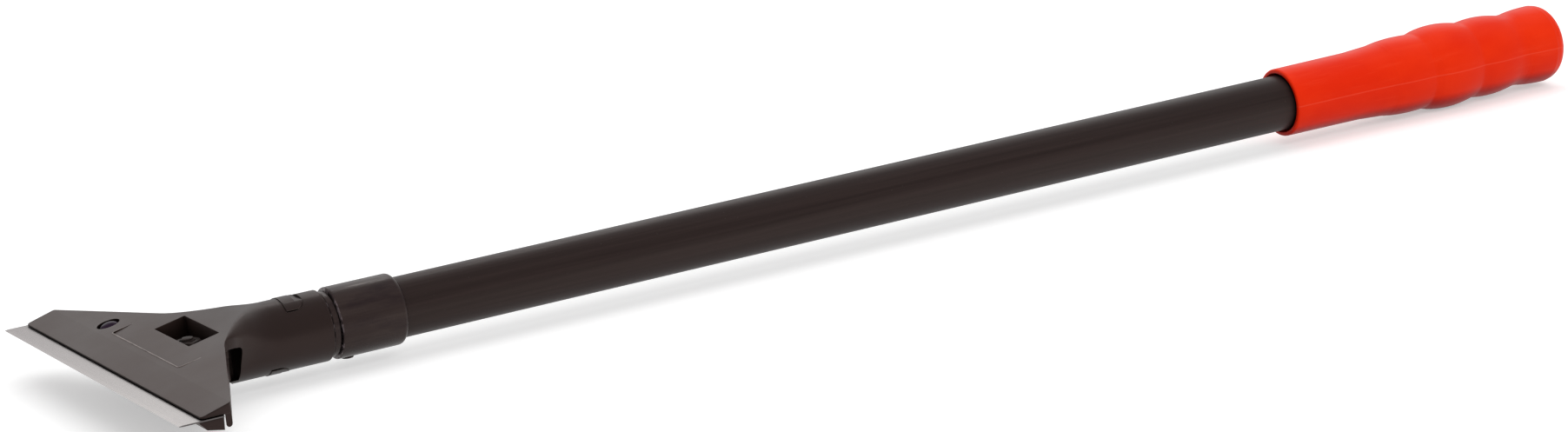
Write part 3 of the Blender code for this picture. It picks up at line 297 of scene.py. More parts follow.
class Look:
    # A material with one Principled shader, and short ways to add texture nodes to it
    def __init__(self, name, colour, roughness, metallic=0.0, specular=0.5, sheen=(1, 1, 1)):
        self.material = bpy.data.materials.new(name)
        self.material.use_nodes = True
        self.nodes = self.material.node_tree.nodes
        self.shader = self.nodes["Principled BSDF"]
        fill(self.shader, {"Base Color": (*colour, 1.0), "Roughness": roughness,
                           "Metallic": metallic, "Specular IOR Level": specular,
                           "Specular Tint": (*sheen, 1.0)})
        self.coordinates = self.nodes.new("ShaderNodeTexCoord").outputs["Object"]

    def drive(self, socket, output):
        fill(self.shader, {socket: output})

    def noise(self, scale, detail, stretch=(1, 1, 1), roughness=0.55):
        mapping = self.nodes.new("ShaderNodeMapping")
        vector = fill(mapping, {"Vector": self.coordinates, "Scale": stretch})["Vector"]
        cloud = self.nodes.new("ShaderNodeTexNoise")
        return fill(cloud, {"Vector": vector, "Scale": scale, "Detail": detail,
                            "Roughness": roughness})["Fac"]

    def along(self, axis):
        return fill(self.nodes.new("ShaderNodeSeparateXYZ"), {"Vector": self.coordinates})[axis]

    def spread(self, value, start, end, low, high):
        # Turns the range start to end into low to high, held at its ends
        node = self.nodes.new("ShaderNodeMapRange")
        return fill(node, {"Value": value, "From Min": start, "From Max": end, "To Min": low,
                           "To Max": high})["Result"]

    def math(self, operation, first, second):
        return calculation(self.nodes, operation, first, second)

    def tint(self, share, first, second):
        # Mixes two colours, each a colour or an output
        node = self.nodes.new("ShaderNodeMix")
        node.data_type = "RGBA"
        first, second = ((*c, 1.0) if isinstance(c, tuple) else c for c in (first, second))
        return fill(node, {"Factor": share, 6: first, 7: second})[2]

    def mottled(self, value, first, second):
        # Two colours mixed by the middle of a noise
        return self.tint(self.spread(value, 0.35, 0.65, 0, 1), first, second)

    def roughen(self, value, low, high):
        self.drive("Roughness", self.spread(value, 0.3, 0.7, low, high))

    def clouded(self, cloud, first, second, low, high):
        # Colour and roughness that change together
        self.drive("Base Color", self.mottled(cloud, first, second))
        self.roughen(cloud, low, high)

    def shaded(self, shade, reach, closed, open_from, dark):
        # Painted shade from ambient occlusion: the dark colour in narrow gaps and deep corners,
        # the given colour on open surfaces
        node = self.nodes.new("ShaderNodeAmbientOcclusion")
        node.samples = RECESS_SAMPLES
        space = self.spread(fill(node, {"Distance": reach})["AO"], closed, open_from, 0, 1)
        return self.tint(space, dark, shade)

    def rounded(self, radius):
        # Surface direction with its edges eased, and how much each spot belongs to an edge
        node = self.nodes.new("ShaderNodeBevel")
        node.samples = EDGE_SAMPLES
        normal = fill(node, {"Radius": radius})["Normal"]
        facing = self.nodes.new("ShaderNodeVectorMath")
        facing.operation = "DOT_PRODUCT"
        plain = self.nodes.new("ShaderNodeNewGeometry").outputs["Normal"]
        return normal, self.spread(fill(facing, {0: normal, 1: plain})["Value"], 0.99, 0.88, 0, 1)

    def bump(self, height, distance, strength, under=None):
        node = self.nodes.new("ShaderNodeBump")
        if under is not None:
            fill(node, {"Normal": under})
        return fill(node, {"Height": height, "Distance": distance, "Strength": strength})["Normal"]


# Materials

def head_plastic():
    # Satin nylon with a fine spark-eroded grain, rubbed edges with painted highlights, and painted
    # shade in its recesses
    look = Look("head_black_satin", (0.036, 0.019, 0.015), 0.42, specular=0.27,
                sheen=(1.0, 0.76, 0.70))
    cloud = look.noise(28, 4)
    shade = look.mottled(cloud, (0.030, 0.0185, 0.0155), (0.039, 0.0250, 0.0215))
    rubbed = look.spread(look.noise(60, 6, (1, 0.12, 1), 0.7), 0.60, 0.74, 0, 0.5)
    shade = look.tint(rubbed, shade, (0.060, 0.042, 0.037))
    normal, edge = look.rounded(HEAD_EDGE_WEAR_GLINT)
    # Edges lighter, partly as rubbed wear and partly as painted highlights
    wear_and_glint = look.math("MULTIPLY", edge, look.spread(look.noise(160, 4), 0.40, 0.60, 0.1, 0.9))
    bright = (0.11, 0.087, 0.080)
    shade = look.tint(wear_and_glint, shade, bright)
    # The neck is a little smoother; the neck and the ends of the plate are painted darker as
    # painted shade, under the same lighter edges with wear and painted highlights
    middle = EDGE_X + NECK_FRONT
    neck_polish_and_shade = look.spread(look.along("X"), middle - HEAD_FLARE / 2, middle + HEAD_FLARE / 2, 0, 1)
    ends = look.math("ABSOLUTE", look.along("Y"), 0)
    ends = look.spread(ends, HALF_WIDTH - 2 * HEAD_EDGE, HALF_WIDTH - HEAD_EDGE, 0, 1)
    neck_and_end_shade = look.tint(wear_and_glint, (0.0150, 0.0092, 0.0085), bright)
    shade = look.tint(look.math("MAXIMUM", neck_polish_and_shade, ends), shade, neck_and_end_shade)
    # Painted shade: near black in the head's recesses, gaps and on the window's floor
    look.drive("Base Color", look.shaded(shade, WIDE_RECESS, 0.40, 0.90, (0.003, 0.0015, 0.0012)))
    satin = look.spread(cloud, 0.3, 0.7, 0.37, 0.46)
    look.drive("Roughness", look.math("SUBTRACT", satin, look.math("MULTIPLY", neck_polish_and_shade, 0.04)))
    waves = look.bump(look.noise(45, 2), HEAD_WAVE_HEIGHT, 0.10, normal)
    look.drive("Normal", look.bump(look.noise(3200, 2), GRAIN_HEIGHT, 0.3, waves))
    return look.material


def rim_plastic():
    # The panel's rim is painted bright along its crest in patches, a painted highlight
    look = Look("rim_painted_highlight", (0.16, 0.13, 0.12), 0.40, specular=0.33, sheen=(1.0, 0.80, 0.73))
    patches = look.spread(look.noise(140, 4), 0.38, 0.62, 0, 1)
    look.drive("Base Color", look.tint(patches, (0.09, 0.070, 0.064), (0.21, 0.175, 0.165)))
    look.roughen(look.noise(300, 3), 0.34, 0.46)
    return look.material


def tube_coating():
    # Semi-gloss coating over drawn tube, with faint lines along it
    look = Look("tube_black_coating", (0.022, 0.014, 0.013), 0.42, specular=0.24,
                sheen=(1.0, 0.82, 0.74))
    lines = look.noise(1.0, 5, (6, 420, 420), 0.6)
    cloud = look.noise(22, 3, (0.4, 1, 1))
    shade = look.mottled(lines, (0.014, 0.0085, 0.0082), (0.023, 0.0145, 0.0138))
    dust = look.spread(look.noise(900, 2), 0.70, 0.78, 0, 0.35)
    shade = look.tint(dust, shade, (0.06, 0.052, 0.048))
    # Painted shade where the tube meets the collar and the grip
    look.drive("Base Color", look.shaded(shade, TUBE_RECESS, 0.2, 0.8, (0.003, 0.002, 0.002)))
    rough = look.math("ADD", look.spread(lines, 0.3, 0.7, 0.34, 0.46),
                      look.spread(cloud, 0.3, 0.7, -0.03, 0.05))
    look.drive("Roughness", rough)
    waves = look.bump(cloud, TUBE_WAVE_HEIGHT, 0.10)
    look.drive("Normal", look.bump(lines, LINE_HEIGHT, 0.5, waves))
    return look.material


def collar_plastic():
    # Smooth moulding with drag marks along it, painted glints along its edges and painted shade in
    # its gaps
    look = Look("collar_black_gloss", (0.026, 0.018, 0.019), 0.34, specular=0.2,
                sheen=(1.0, 0.82, 0.72))
    lines = look.noise(1.0, 4, (12, 300, 300), 0.6)
    shade = look.mottled(lines, (0.022, 0.0140, 0.0140), (0.034, 0.0235, 0.0220))
    streaks = look.spread(look.noise(1.0, 4, (30, 110, 110), 0.7), 0.52, 0.70, 0, 0.7)
    shade = look.tint(streaks, shade, (0.012, 0.007, 0.010))
    normal, edge = look.rounded(COLLAR_EDGE_GLINT)
    # Painted glints: bright broken lines at the front edges of the ring and of the collar, added
    # to the eased edges
    for front, reach in ((RING_LOW.x, RING_EDGE), (COLLAR_LOW.x, COLLAR_FRONT_ROUND)):
        behind = look.spread(look.along("X"), front + reach / 4, front + reach / 2, 1, 0)
        before = look.spread(look.along("X"), front - FIT, front - FIT / 2, 0, 1)
        edge = look.math("MAXIMUM", edge, look.math("MULTIPLY", behind, before))
    wear_and_glint = look.math("MULTIPLY", edge, look.spread(look.noise(260, 4), 0.47, 0.60, 0.06, 1))
    # Painted shade in the narrow gaps
    shade = look.shaded(shade, NARROW_RECESS, 0.25, 0.8, (0.003, 0.002, 0.002))
    look.drive("Base Color", look.tint(wear_and_glint, shade, (0.26, 0.21, 0.22)))
    look.roughen(look.noise(60, 3), 0.22, 0.34)
    look.drive("Normal", look.bump(lines, LINE_HEIGHT, 0.4, normal))
    return look.material


def grip_plastic():
    # Soft vinyl with faint flow lines, handling marks, a paler parting line and painted shade in
    # its creases
    look = Look("grip_red_vinyl", (0.80, 0.026, 0.004), 0.36, specular=0.11,
                sheen=(1.0, 0.60, 0.50))
    cloud = look.noise(38, 4, (0.6, 1, 1))
    flow = look.noise(1.0, 5, (26, 260, 260), 0.65)
    shade = look.mottled(cloud, (0.75, 0.021, 0.0025), (0.82, 0.031, 0.0040))
    shade = look.tint(look.spread(flow, 0.56, 0.72, 0, 0.3), shade, (0.84, 0.055, 0.018))
    height = look.along("Z")
    below = look.spread(height, AXIS_LEVEL - SEAM_SOFTNESS, AXIS_LEVEL, 0, 1)
    above = look.spread(height, AXIS_LEVEL + SEAM_SOFTNESS, AXIS_LEVEL, 0, SEAM_SHARE)
    shade = look.tint(look.math("MULTIPLY", below, above), shade, (0.90, 0.11, 0.06))
    # Painted shade: deep red in the creases between the swells and at the mouth
    look.drive("Base Color", look.shaded(shade, WIDE_RECESS, 0.50, 0.96, (0.42, 0.007, 0.001)))
    look.roughen(flow, 0.30, 0.40)
    waves = look.bump(cloud, GRIP_WAVE_HEIGHT, 0.12)
    look.drive("Normal", look.bump(look.noise(1600, 2), GRAIN_HEIGHT, 0.3, waves))
    return look.material


def blade_steel():
    # Ground strip steel: lines along the strip, finer ones across, and painted shade that darkens
    # it towards the far end
    look = Look("blade_steel_ground", (0.55, 0.50, 0.49), 0.28, metallic=1.0)
    strip = look.noise(1.0, 4, (7000, 40, 7000), 0.6)
    bevel = look.noise(1.0, 4, (60, 3000, 60), 0.6)
    # Painted shade: a lighter colour at the near end, a darker one at the far end
    near = look.mottled(strip, (0.42, 0.392, 0.383), (0.49, 0.462, 0.450))
    far = look.mottled(strip, (0.25, 0.222, 0.220), (0.31, 0.280, 0.276))
    across = look.along("Y")
    shade = look.tint(look.spread(across, BLADE_LOW.y, BLADE_HIGH.y, 0, 1), near, far)
    stain = look.spread(look.noise(55, 5, (1, 0.35, 1)), 0.50, 0.75, 0, 0.4)
    shade = look.tint(stain, shade, (0.30, 0.273, 0.268))
    # Painted shade: the blade's ends darker, also standing in for the reflection of the head's
    # dark side
    ends = look.spread(look.math("ABSOLUTE", across, 0), BLADE_HIGH.y - 2 * FIT,
                       BLADE_HIGH.y - FIT / 2, 0, 0.9)
    shade = look.tint(ends, shade, (0.07, 0.062, 0.062))
    # Painted shade under the head's front and in the narrow gaps
    look.drive("Base Color", look.shaded(shade, NARROW_RECESS, 0.5, 0.95, (0.04, 0.03, 0.03)))
    look.roughen(strip, 0.22, 0.32)
    fine = look.bump(bevel, STEEL_LINE_HEIGHT, 0.35)
    look.drive("Normal", look.bump(strip, STEEL_LINE_HEIGHT, 0.5, fine))
    return look.material


def zinc_plate():
    look = Look("zinc_plate", (0.46, 0.45, 0.43), 0.3, metallic=1.0)
    look.clouded(look.noise(240, 4), (0.40, 0.40, 0.41), (0.52, 0.50, 0.44), 0.24, 0.42)
    look.drive("Normal", look.bump(look.noise(1500, 2), LINE_HEIGHT, 0.4))
    return look.material


def dark_nut_steel():
    # The nut sits in the shade of its well; its colour is painted near black as painted shade, and
    # oily
    look = Look("nut_painted_shade", (0.028, 0.020, 0.019), 0.40, specular=0.06)
    look.clouded(look.noise(400, 4), (0.016, 0.011, 0.010), (0.040, 0.031, 0.029), 0.32, 0.50)
    return look.material


def rivet_lacquer():
    look = Look("rivet_black_lacquer", (0.016, 0.011, 0.016), 0.10, specular=0.06,
                sheen=(0.95, 0.66, 1.0))
    look.clouded(look.noise(500, 3), (0.012, 0.006, 0.013), (0.024, 0.013, 0.026), 0.05, 0.12)
    return look.material


def inner_plastic():
    look = Look("inner_black_plastic", (0.030, 0.027, 0.026), 0.5)
    look.clouded(look.noise(120, 3), (0.026, 0.023, 0.022), (0.038, 0.034, 0.032), 0.44, 0.58)
    look.drive("Normal", look.bump(look.noise(2600, 2), GRAIN_HEIGHT, 0.4))
    return look.material


# Pieces

def linked(name, data):
    # A new object in the scene
    thing = bpy.data.objects.new(name, data)
    bpy.context.scene.collection.objects.link(thing)
    return thing


def poured(mesh_data, name):
    # The mesh of the points and faces gathered so far
    mesh = bpy.data.meshes.new(name)
    mesh_data.to_mesh(mesh)
    mesh_data.free()
    return mesh


def weigh_normals(piece):
    weighted = piece.modifiers.new("normals", "WEIGHTED_NORMAL")
    weighted.keep_sharp = True


def add_piece(mesh, name, node, material):
    # Puts a mesh into the scene in place of a node
    mesh.materials.clear()
    mesh.materials.append(material)
    mesh.shade_smooth()
    mesh.set_sharp_from_angle(angle=SHARP_ANGLE)
    piece = linked(name, mesh)
    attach(piece, NODES[node]["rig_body"])
    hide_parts(node)
    return piece


def finished_copy(node, material, edge=0.0):
    # The node's own solid with merged points, rounded edges and smooth shading
    mesh_data = bmesh.new()
    mesh_data.from_mesh(NODES[node].data)
    bmesh.ops.remove_doubles(mesh_data, verts=mesh_data.verts, dist=MERGE_DISTANCE)
    bmesh.ops.dissolve_limit(mesh_data, angle_limit=FLAT_ANGLE, verts=mesh_data.verts,
                             edges=mesh_data.edges)
    name = node + "_finished"
    piece = add_piece(poured(mesh_data, name), name, node, material)
    if edge:
        bevel = piece.modifiers.new("edges", "BEVEL")
        bevel.width = edge
        bevel.segments = EDGE_SEGMENTS
        bevel.limit_method = "ANGLE"
        bevel.angle_limit = BEVEL_ANGLE
    weigh_normals(piece)


def band(mesh_data, ring, following):
    # Faces between two closed rings of points
    for i in range(len(ring)):
        j = (i + 1) % len(ring)
        mesh_data.faces.new((ring[i], ring[j], following[j], following[i]))


def turned_mesh(name, profile, steps, level, radius_of=None):
    # A closed profile of (along, radius) turned about the handle's axis
    mesh_data = bmesh.new()
    rings = []
    for i in range(steps):
        angle = 2 * math.pi * i / steps
        ring = []
        for along, radius in profile:
            reach = radius_of(radius, angle) if radius_of else radius
            ring.append(mesh_data.verts.new((along, reach * math.cos(angle),
                                             level + reach * math.sin(angle))))
        rings.append(ring)
    for i in range(steps):
        band(mesh_data, rings[i], rings[(i + 1) % steps])
    bmesh.ops.remove_doubles(mesh_data, verts=mesh_data.verts, dist=MERGE_DISTANCE)
    bmesh.ops.dissolve_degenerate(mesh_data, edges=mesh_data.edges, dist=MERGE_DISTANCE / 10)
    bmesh.ops.recalc_face_normals(mesh_data, faces=mesh_data.faces)
    return poured(mesh_data, name)


def arc(centre, radius, start, end, steps):
    # Points on an arc about a centre, from one angle to another
    angles = [start + (end - start) * i / steps for i in range(steps + 1)]
    return [(centre[0] + radius * math.cos(a), centre[1] + radius * math.sin(a)) for a in angles]


def outer_corner(end, radius, edge, rear, steps):
    # A rounded outer corner of a turned piece, at its front or at its rear end
    if rear:
        return arc((end - edge, radius - edge), edge, math.pi / 2, 0, steps)
    return arc((end + edge, radius - edge), edge, math.pi, math.pi / 2, steps)


def grip_outer_profile():
    # The mouth, then swells that each start with a step up from the crease before
    length = GRIP_HIGH.x - GRIP_LOW.x
    points = []
    start = 0.0
    for number, (end, wall_start, wall_crest, wall_end) in enumerate(GRIP_SWELL_SHARES):
        steps = GRIP_STEPS_PER_SWELL if number else GRIP_TAPER_STEPS
        for i in range(steps + 1):
            share = i / steps
            line = wall_start + (wall_end - wall_start) * share
            bow = wall_crest - (wall_start + wall_end) / 2
            wall = line + bow * math.sin(math.pi * share) if number else line
            along = GRIP_LOW.x + length * (start + (end - start) * share)
            if i == 0 and number:
                along += length * GRIP_STEP_SHARE
            points.append((along, min(TUBE_RADIUS + GRIP_CREST_WALL * wall, GRIP_HIGH.y)))
        start = end
    return points


def eased(profile, reach):
    # Each radius becomes the mean of those within reach of it along the profile
    smooth = []
    for along, _ in profile:
        near = [r for x, r in profile if abs(x - along) <= reach]
        smooth.append((along, sum(near) / len(near)))
    return [profile[0]] + smooth[1:-1] + [profile[-1]]


def seam(radius, angle):
    # The mould's parting line on both sides of the grip
    if radius < TUBE_RADIUS + GRIP_MOUTH_WALL / 2:
        return radius
    away = abs(math.remainder(angle, math.pi))
    return radius + SEAM_HEIGHT * max(0.0, 1 - away / SEAM_HALF_ANGLE)


def make_grip(material):
    outer = eased(grip_outer_profile(), GRIP_CREASE_REACH)
    front, rear = GRIP_LOW.x, GRIP_HIGH.x
    profile = outer_corner(front, TUBE_RADIUS + GRIP_MOUTH_WALL, GRIP_MOUTH_ROUND, False,
                           GRIP_MOUTH_STEPS)
    profile += [p for p in outer[1:] if p[0] < rear - GRIP_END_ROUND]
    profile += outer_corner(rear, outer[-1][1], GRIP_END_ROUND, True, GRIP_END_STEPS)
    bore = TUBE_RADIUS + GRIP_WALL_FREE
    bottom = rear - (rear - TUBE_HIGH.x) / 2
    profile += [(rear, 0), (bottom, 0), (bottom, bore), (front + GRIP_MOUTH_FLARE_LENGTH, bore),
                (front, bore + GRIP_MOUTH_FLARE)]
    mesh = turned_mesh("grip_vinyl", profile, FINE_STEPS, AXIS_LEVEL, seam)
    add_piece(mesh, "grip_vinyl", "grip", material)


def make_screw(material):
    # The clamp screw with its thread cut in
    low, high = SCREW_LOW.z, SCREW_HIGH.z
    middle = (SCREW_LOW + SCREW_HIGH) / 2
    levels = round((high - low) / THREAD_PITCH * THREAD_LEVELS_PER_TURN)
    sections = []
    for j in range(levels + 1):
        z = low + (high - low) * j / levels
        taper = min(1.0, (high - z) / THREAD_PITCH)
        section = []
        for i in range(THREAD_STEPS):
            turn = i / THREAD_STEPS
            phase = (z / THREAD_PITCH - turn) % 1.0
            groove = 1 - abs(2 * phase - 1)
            reach = SCREW_RADIUS - THREAD_DEPTH * groove - THREAD_DEPTH * (1 - taper)
            angle = 2 * math.pi * turn
            section.append((middle.x + reach * math.cos(angle),
                            middle.y + reach * math.sin(angle), z))
        sections.append(section)
    name = "clamp_screw_thread"
    add_piece(mesh_of(loft(name, sections)), name, "clamp_screw", material)


def add_sleeve(name, node, material, radius, bore, front_edge, rear_edge, rear_steps):
    # A turned sleeve about the handle's axis, with its outer edges rounded
    low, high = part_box(node)
    profile = outer_corner(low.x, radius, front_edge, False, EDGE_STEPS)
    profile += outer_corner(high.x, radius, rear_edge, True, rear_steps)
    profile += [(high.x, bore), (low.x, bore)]
    mesh = turned_mesh(name, profile, FINE_STEPS, AXIS_LEVEL)
    add_piece(mesh, name, node, material)


def make_ring(material):
    add_sleeve("ring_fine", "stop_ring", material, RING_HIGH.y,
               NECK_BORE_RADIUS, RING_EDGE, RING_EDGE, EDGE_STEPS)


def make_collar(material):
    add_sleeve("collar_fine", "collar", material, COLLAR_HIGH.y,
               TUBE_RADIUS + FIT, COLLAR_FRONT_ROUND, COLLAR_REAR_ROUND, ROUNDOVER_STEPS)


def make_collar_rivet(material):
    # A low head under the collar, eased round its edge, and the shank through the wall
    low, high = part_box("collar_rivet")
    edge = COLLAR_RIVET_ROUND
    head = low.z + COLLAR_RIVET_SETBACK
    profile = [(COLLAR_RIVET_RADIUS - edge + edge * math.sin(a), head + edge - edge * math.cos(a))
               for a in (math.pi / 2 * i / EDGE_STEPS for i in range(EDGE_STEPS + 1))]
    root = COLLAR_LOW.z + FIT
    profile += [(COLLAR_RIVET_RADIUS, root), (COLLAR_RIVET_SHANK, root),
                (COLLAR_RIVET_SHANK, high.z)]
    rivet = loft("collar_rivet_fine", upright(profile, (low.x + high.x) / 2, (low.y + high.y) / 2))
    add_piece(mesh_of(rivet), "collar_rivet_fine", "collar_rivet", material)


def make_tube(material):
    add_sleeve("tube_fine", "tube", material, TUBE_RADIUS,
               TUBE_RADIUS - TUBE_WALL, TUBE_EDGE, TUBE_EDGE, EDGE_STEPS)


# Shape makers

def place(mesh_data, name):
    # A new object from the points and faces gathered so far
    bmesh.ops.remove_doubles(mesh_data, verts=mesh_data.verts, dist=MERGE_DISTANCE)
    bmesh.ops.recalc_face_normals(mesh_data, faces=mesh_data.faces)
    return linked(name, poured(mesh_data, name))


def mesh_of(thing):
    # The mesh of an object that is given up
    mesh = thing.data
    bpy.data.objects.remove(thing, do_unlink=True)
    return mesh


def circle(radius):
    # Points round the origin
    angles = [2 * math.pi * (i + 0.5) / ROUND_STEPS for i in range(ROUND_STEPS)]
    return [(radius * math.cos(a), radius * math.sin(a)) for a in angles]


def upright(profile, x=0, y=0):
    # Level rings about an upright axis, one for each (radius, level)
    return [[(x + a, y + b, z) for a, b in circle(radius)] for radius, z in profile]


def post(name, radius, low, high, location=(0, 0, 0)):
    # An upright cylinder
    return prism(name, circle(radius), low, high, location)


def drawn(name, near, far):
    # Two closed outlines alike in their count of points, capped and joined by a wall
    mesh_data = bmesh.new()
    near, far = ([mesh_data.verts.new(point) for point in outline] for outline in (near, far))
    mesh_data.faces.new(near)
    mesh_data.faces.new(far)
    band(mesh_data, near, far)
    return place(mesh_data, name)


def prism(name, outline, low, high, location=(0, 0, 0)):
    # An outline in plan raised between two levels, each a number or a function of x
    def at(level):
        return [(x, y, level(x) if callable(level) else level) for x, y in outline]
    thing = drawn(name, at(low), at(high))
    thing.data.transform(Matrix.Translation(location))
    return thing


def side_prism(name, outline, low, high):
    # An outline in (x, z) drawn out along Y
    return drawn(name, *([(x, y, z) for x, z in outline] for y in (low, high)))


def rectangle(x_low, x_high, y_low, y_high):
    return [(x_low, y_low), (x_high, y_low), (x_high, y_high), (x_low, y_high)]


def loft(name, sections):
    # Closed sections with the same count of points, joined in order and capped
    mesh_data = bmesh.new()
    rings = [[mesh_data.verts.new(point) for point in section] for section in sections]
    for ring, following in zip(rings, rings[1:]):
        band(mesh_data, ring, following)
    mesh_data.faces.new(rings[0])
    mesh_data.faces.new(rings[-1])
    return place(mesh_data, name)


def rounded_path(points, radii, steps):
    # A path through the points whose inner corners are arcs of the given radii
    path = [tuple(points[0])]
    for before, corner, after, radius, count in zip(points, points[1:], points[2:], radii, steps):
        corner = Vector(corner)
        back = (Vector(before) - corner).normalized()
        ahead = (Vector(after) - corner).normalized()
        half = back.angle(ahead) / 2
        reach = radius / math.tan(half)
        middle = corner + (back + ahead).normalized() * (radius / math.sin(half))
        start = corner + back * reach - middle
        end = corner + ahead * reach - middle
        sweep = start.angle_signed(end)
        for i in range(count + 1):
            turn = Matrix.Rotation(-sweep * i / count, 2)
            path.append(tuple(middle + turn @ start))
    path.append(tuple(points[-1]))
    return path


def combine(target, other, operation):
    # Boolean of two solids, applied at once; the second one is used up
    modifier = target.modifiers.new("combine", "BOOLEAN")
    modifier.operation = operation
    modifier.solver = "EXACT"
    modifier.object = other
    bpy.context.view_layer.update()
    evaluated = target.evaluated_get(bpy.context.evaluated_depsgraph_get())
    mesh = bpy.data.meshes.new_from_object(evaluated)
    target.modifiers.clear()
    old = target.data
    target.data = mesh
    mesh.name = target.name
    bpy.data.meshes.remove(old)
    bpy.data.meshes.remove(mesh_of(other))


def join(target, *others):
    for other in others:
        combine(target, other, "UNION")


def cut(target, *others):
    for other in others:
        combine(target, other, "DIFFERENCE")


# Head

def slope_level(x):
    # The head's upper face, which falls away faster from the shoulders to the lip
    behind = SHOULDER_HEIGHT + (x - STRIP_END) * math.tan(HEAD_SLOPE)
    nose_share = (x - HEAD_FRONT) / (STRIP_END - HEAD_FRONT)
    nose = HEAD_LIP + (SHOULDER_HEIGHT - HEAD_LIP) * nose_share
    return SEAT_LEVEL + min(behind, nose)


def underside_level(x):
    # The lower edge of the skirt
    return -SKIRT_FRONT_LEVEL - (x - STRIP_END) * math.tan(UNDERSIDE_SLOPE)


def within_plate(x):
    # Halfway through the plate, where walls and ribs end
    return slope_level(x) - PLATE_THICKNESS / 2


def over_plate(x):
    # Clear above the plate, for cutters
    return slope_level(x) + OVERRUN


def soft_lower(a, b, softness):
    # The lower of two numbers, blended where they are close
    return (a + b - math.hypot(a - b, softness)) / 2


def soft_upper(a, b, softness):
    return (a + b + math.hypot(a - b, softness)) / 2


def smooth_share(value):
    value = min(max(value, 0.0), 1.0)
    return value * value * (3 - 2 * value)


def head_outline():
    # Half of the head in plan, as (x, half width), from the front corner to the neck
    points = [
        (HEAD_FRONT, 0),
        (HEAD_FRONT, HALF_WIDTH),
        (STRIP_END, HALF_WIDTH),
        (TAPER_MEETS_NECK, NECK_RADIUS),
        (NECK_END - NECK_CHAMFER, NECK_RADIUS),
    ]
    radii = (HEAD_CORNER, HEAD_SHOULDER, HEAD_FLARE)
    return rounded_path(points, radii, (CORNER_STEPS, CORNER_STEPS, FLARE_STEPS))[1:]


def flare_span(outline):
    # Where the flare starts, on the taper, and ends, on the neck
    return outline[2 * (CORNER_STEPS + 1)][0], outline[-2][0]


def neck_distance(turn, side, neck):
    # From the middle at the side's level, in one direction, to the round of the neck
    return side * math.sin(turn) + math.sqrt(max(neck ** 2 - (side * math.cos(turn)) ** 2, 0))


def flank_reach(turn, side, width, edge, neck):
    # The same distance to a hull around the plate's rounded edge and the neck
    across, down = math.cos(turn), math.sin(turn)
    neck_reach = neck_distance(turn, side, neck)
    inner = width - edge
    apart = math.hypot(inner, side)
    if apart <= neck - edge:
        return neck_reach
    tilt = math.acos((neck - edge) / apart) - math.atan2(side, inner)
    rise, run = math.sin(tilt), math.cos(tilt)
    if turn < math.atan2(edge * rise, inner + edge * run):
        return inner * across + math.sqrt(max(edge ** 2 - (inner * down) ** 2, 0))
    if turn > math.atan2(side + neck * rise, neck * run):
        return neck_reach
    return (neck + side * rise) / (across * run + down * rise)


def section_half(x, width, flare, shrink):
    # Right half of the section at x, from the top middle to the bottom middle
    turned_share = smooth_share((x - flare[0]) / (flare[1] - flare[0]))
    neck = NECK_RADIUS - shrink
    width = width - shrink
    top = min(soft_lower(slope_level(x), NECK_RADIUS, CROWN_SOFTNESS * (1 - turned_share)),
              neck)
    edge = HEAD_EDGE + (neck - HEAD_EDGE) * turned_share
    side = top - edge
    if x < BLOCK_END:
        bottom = SEAT_LEVEL
        edge = min(edge, top - bottom - HEAD_SLIVER)
        side = top - edge
    else:
        haunch = min(max(x - flare[0], 0), NECK_FRONT + POCKET_LENGTH - flare[0])
        thickness = PLATE_THICKNESS + haunch * math.tan(HAUNCH_SLOPE)
        bottom = min(top - thickness, side - HEAD_SLIVER)
    points = []
    for i in range(SECTION_TOP_STEPS):
        points.append(((width - edge) * i / SECTION_TOP_STEPS, top))
    points += arc((width - edge, side), edge, math.pi / 2, 0, SECTION_ARC_STEPS)
    # Below the side point the plate and the neck are joined by directions from the middle
    spread = SECTION_CORNER_SPREAD * turned_share
    corner = math.atan2(side - bottom, width) + spread
    pocket_reach = math.sqrt(max(neck ** 2 - bottom ** 2, 0)) + FILLET_SOFTNESS
    pocket = max(math.atan2(side - bottom, pocket_reach), corner) + spread + SECTION_POCKET_STEP
    turns = [corner, pocket]
    for i in range(1, SECTION_LOWER_STEPS + 1):
        turns.append(pocket + (math.pi / 2 - pocket) * i / SECTION_LOWER_STEPS)
    for turn in turns:
        across, down = math.cos(turn), math.sin(turn)
        reach = min(width / max(across, TINY), (side - bottom) / down)
        if x > NECK_FRONT:
            softness = FILLET_SOFTNESS * (1 - turned_share) if turn > corner else 0
            reach = soft_upper(reach, neck_distance(turn, side, neck), softness)
            full = smooth_share((x - NECK_FRONT) / POCKET_LENGTH)
            reach += (flank_reach(turn, side, width, edge, neck) - reach) * full
        points.append((reach * across, side - reach * down))
    return points


def head_section(x, width, flare, shrink=0.0):
    # The closed section at x, its left half mirrored from the right one
    half = section_half(x, width, flare, shrink)
    return [(x, y, z) for y, z in half] + [(x, -y, z) for y, z in half[-2:0:-1]]


def head_shell():
    # The wedge plate that widens to the blade and closes round into the neck
    outline = head_outline()
    flare = flare_span(outline)
    steps = (BLOCK_END - FIT, BLOCK_END, NECK_FRONT, NECK_FRONT + FIT)
    stations = sorted(outline + [(x, outline_width(outline, x)) for x in steps])
    sections = [head_section(x, width, flare) for x, width in stations]
    sections.append(head_section(NECK_END, NECK_RADIUS, flare, NECK_CHAMFER))
    return loft("head_body", sections)


def outline_width(outline, x):
    # Half width of the head at x, read along its outline
    for (x0, w0), (x1, w1) in zip(outline, outline[1:]):
        if x0 <= x <= x1 and x1 > x0:
            return w0 + (w1 - w0) * (x - x0) / (x1 - x0)
    return outline[-1][1]


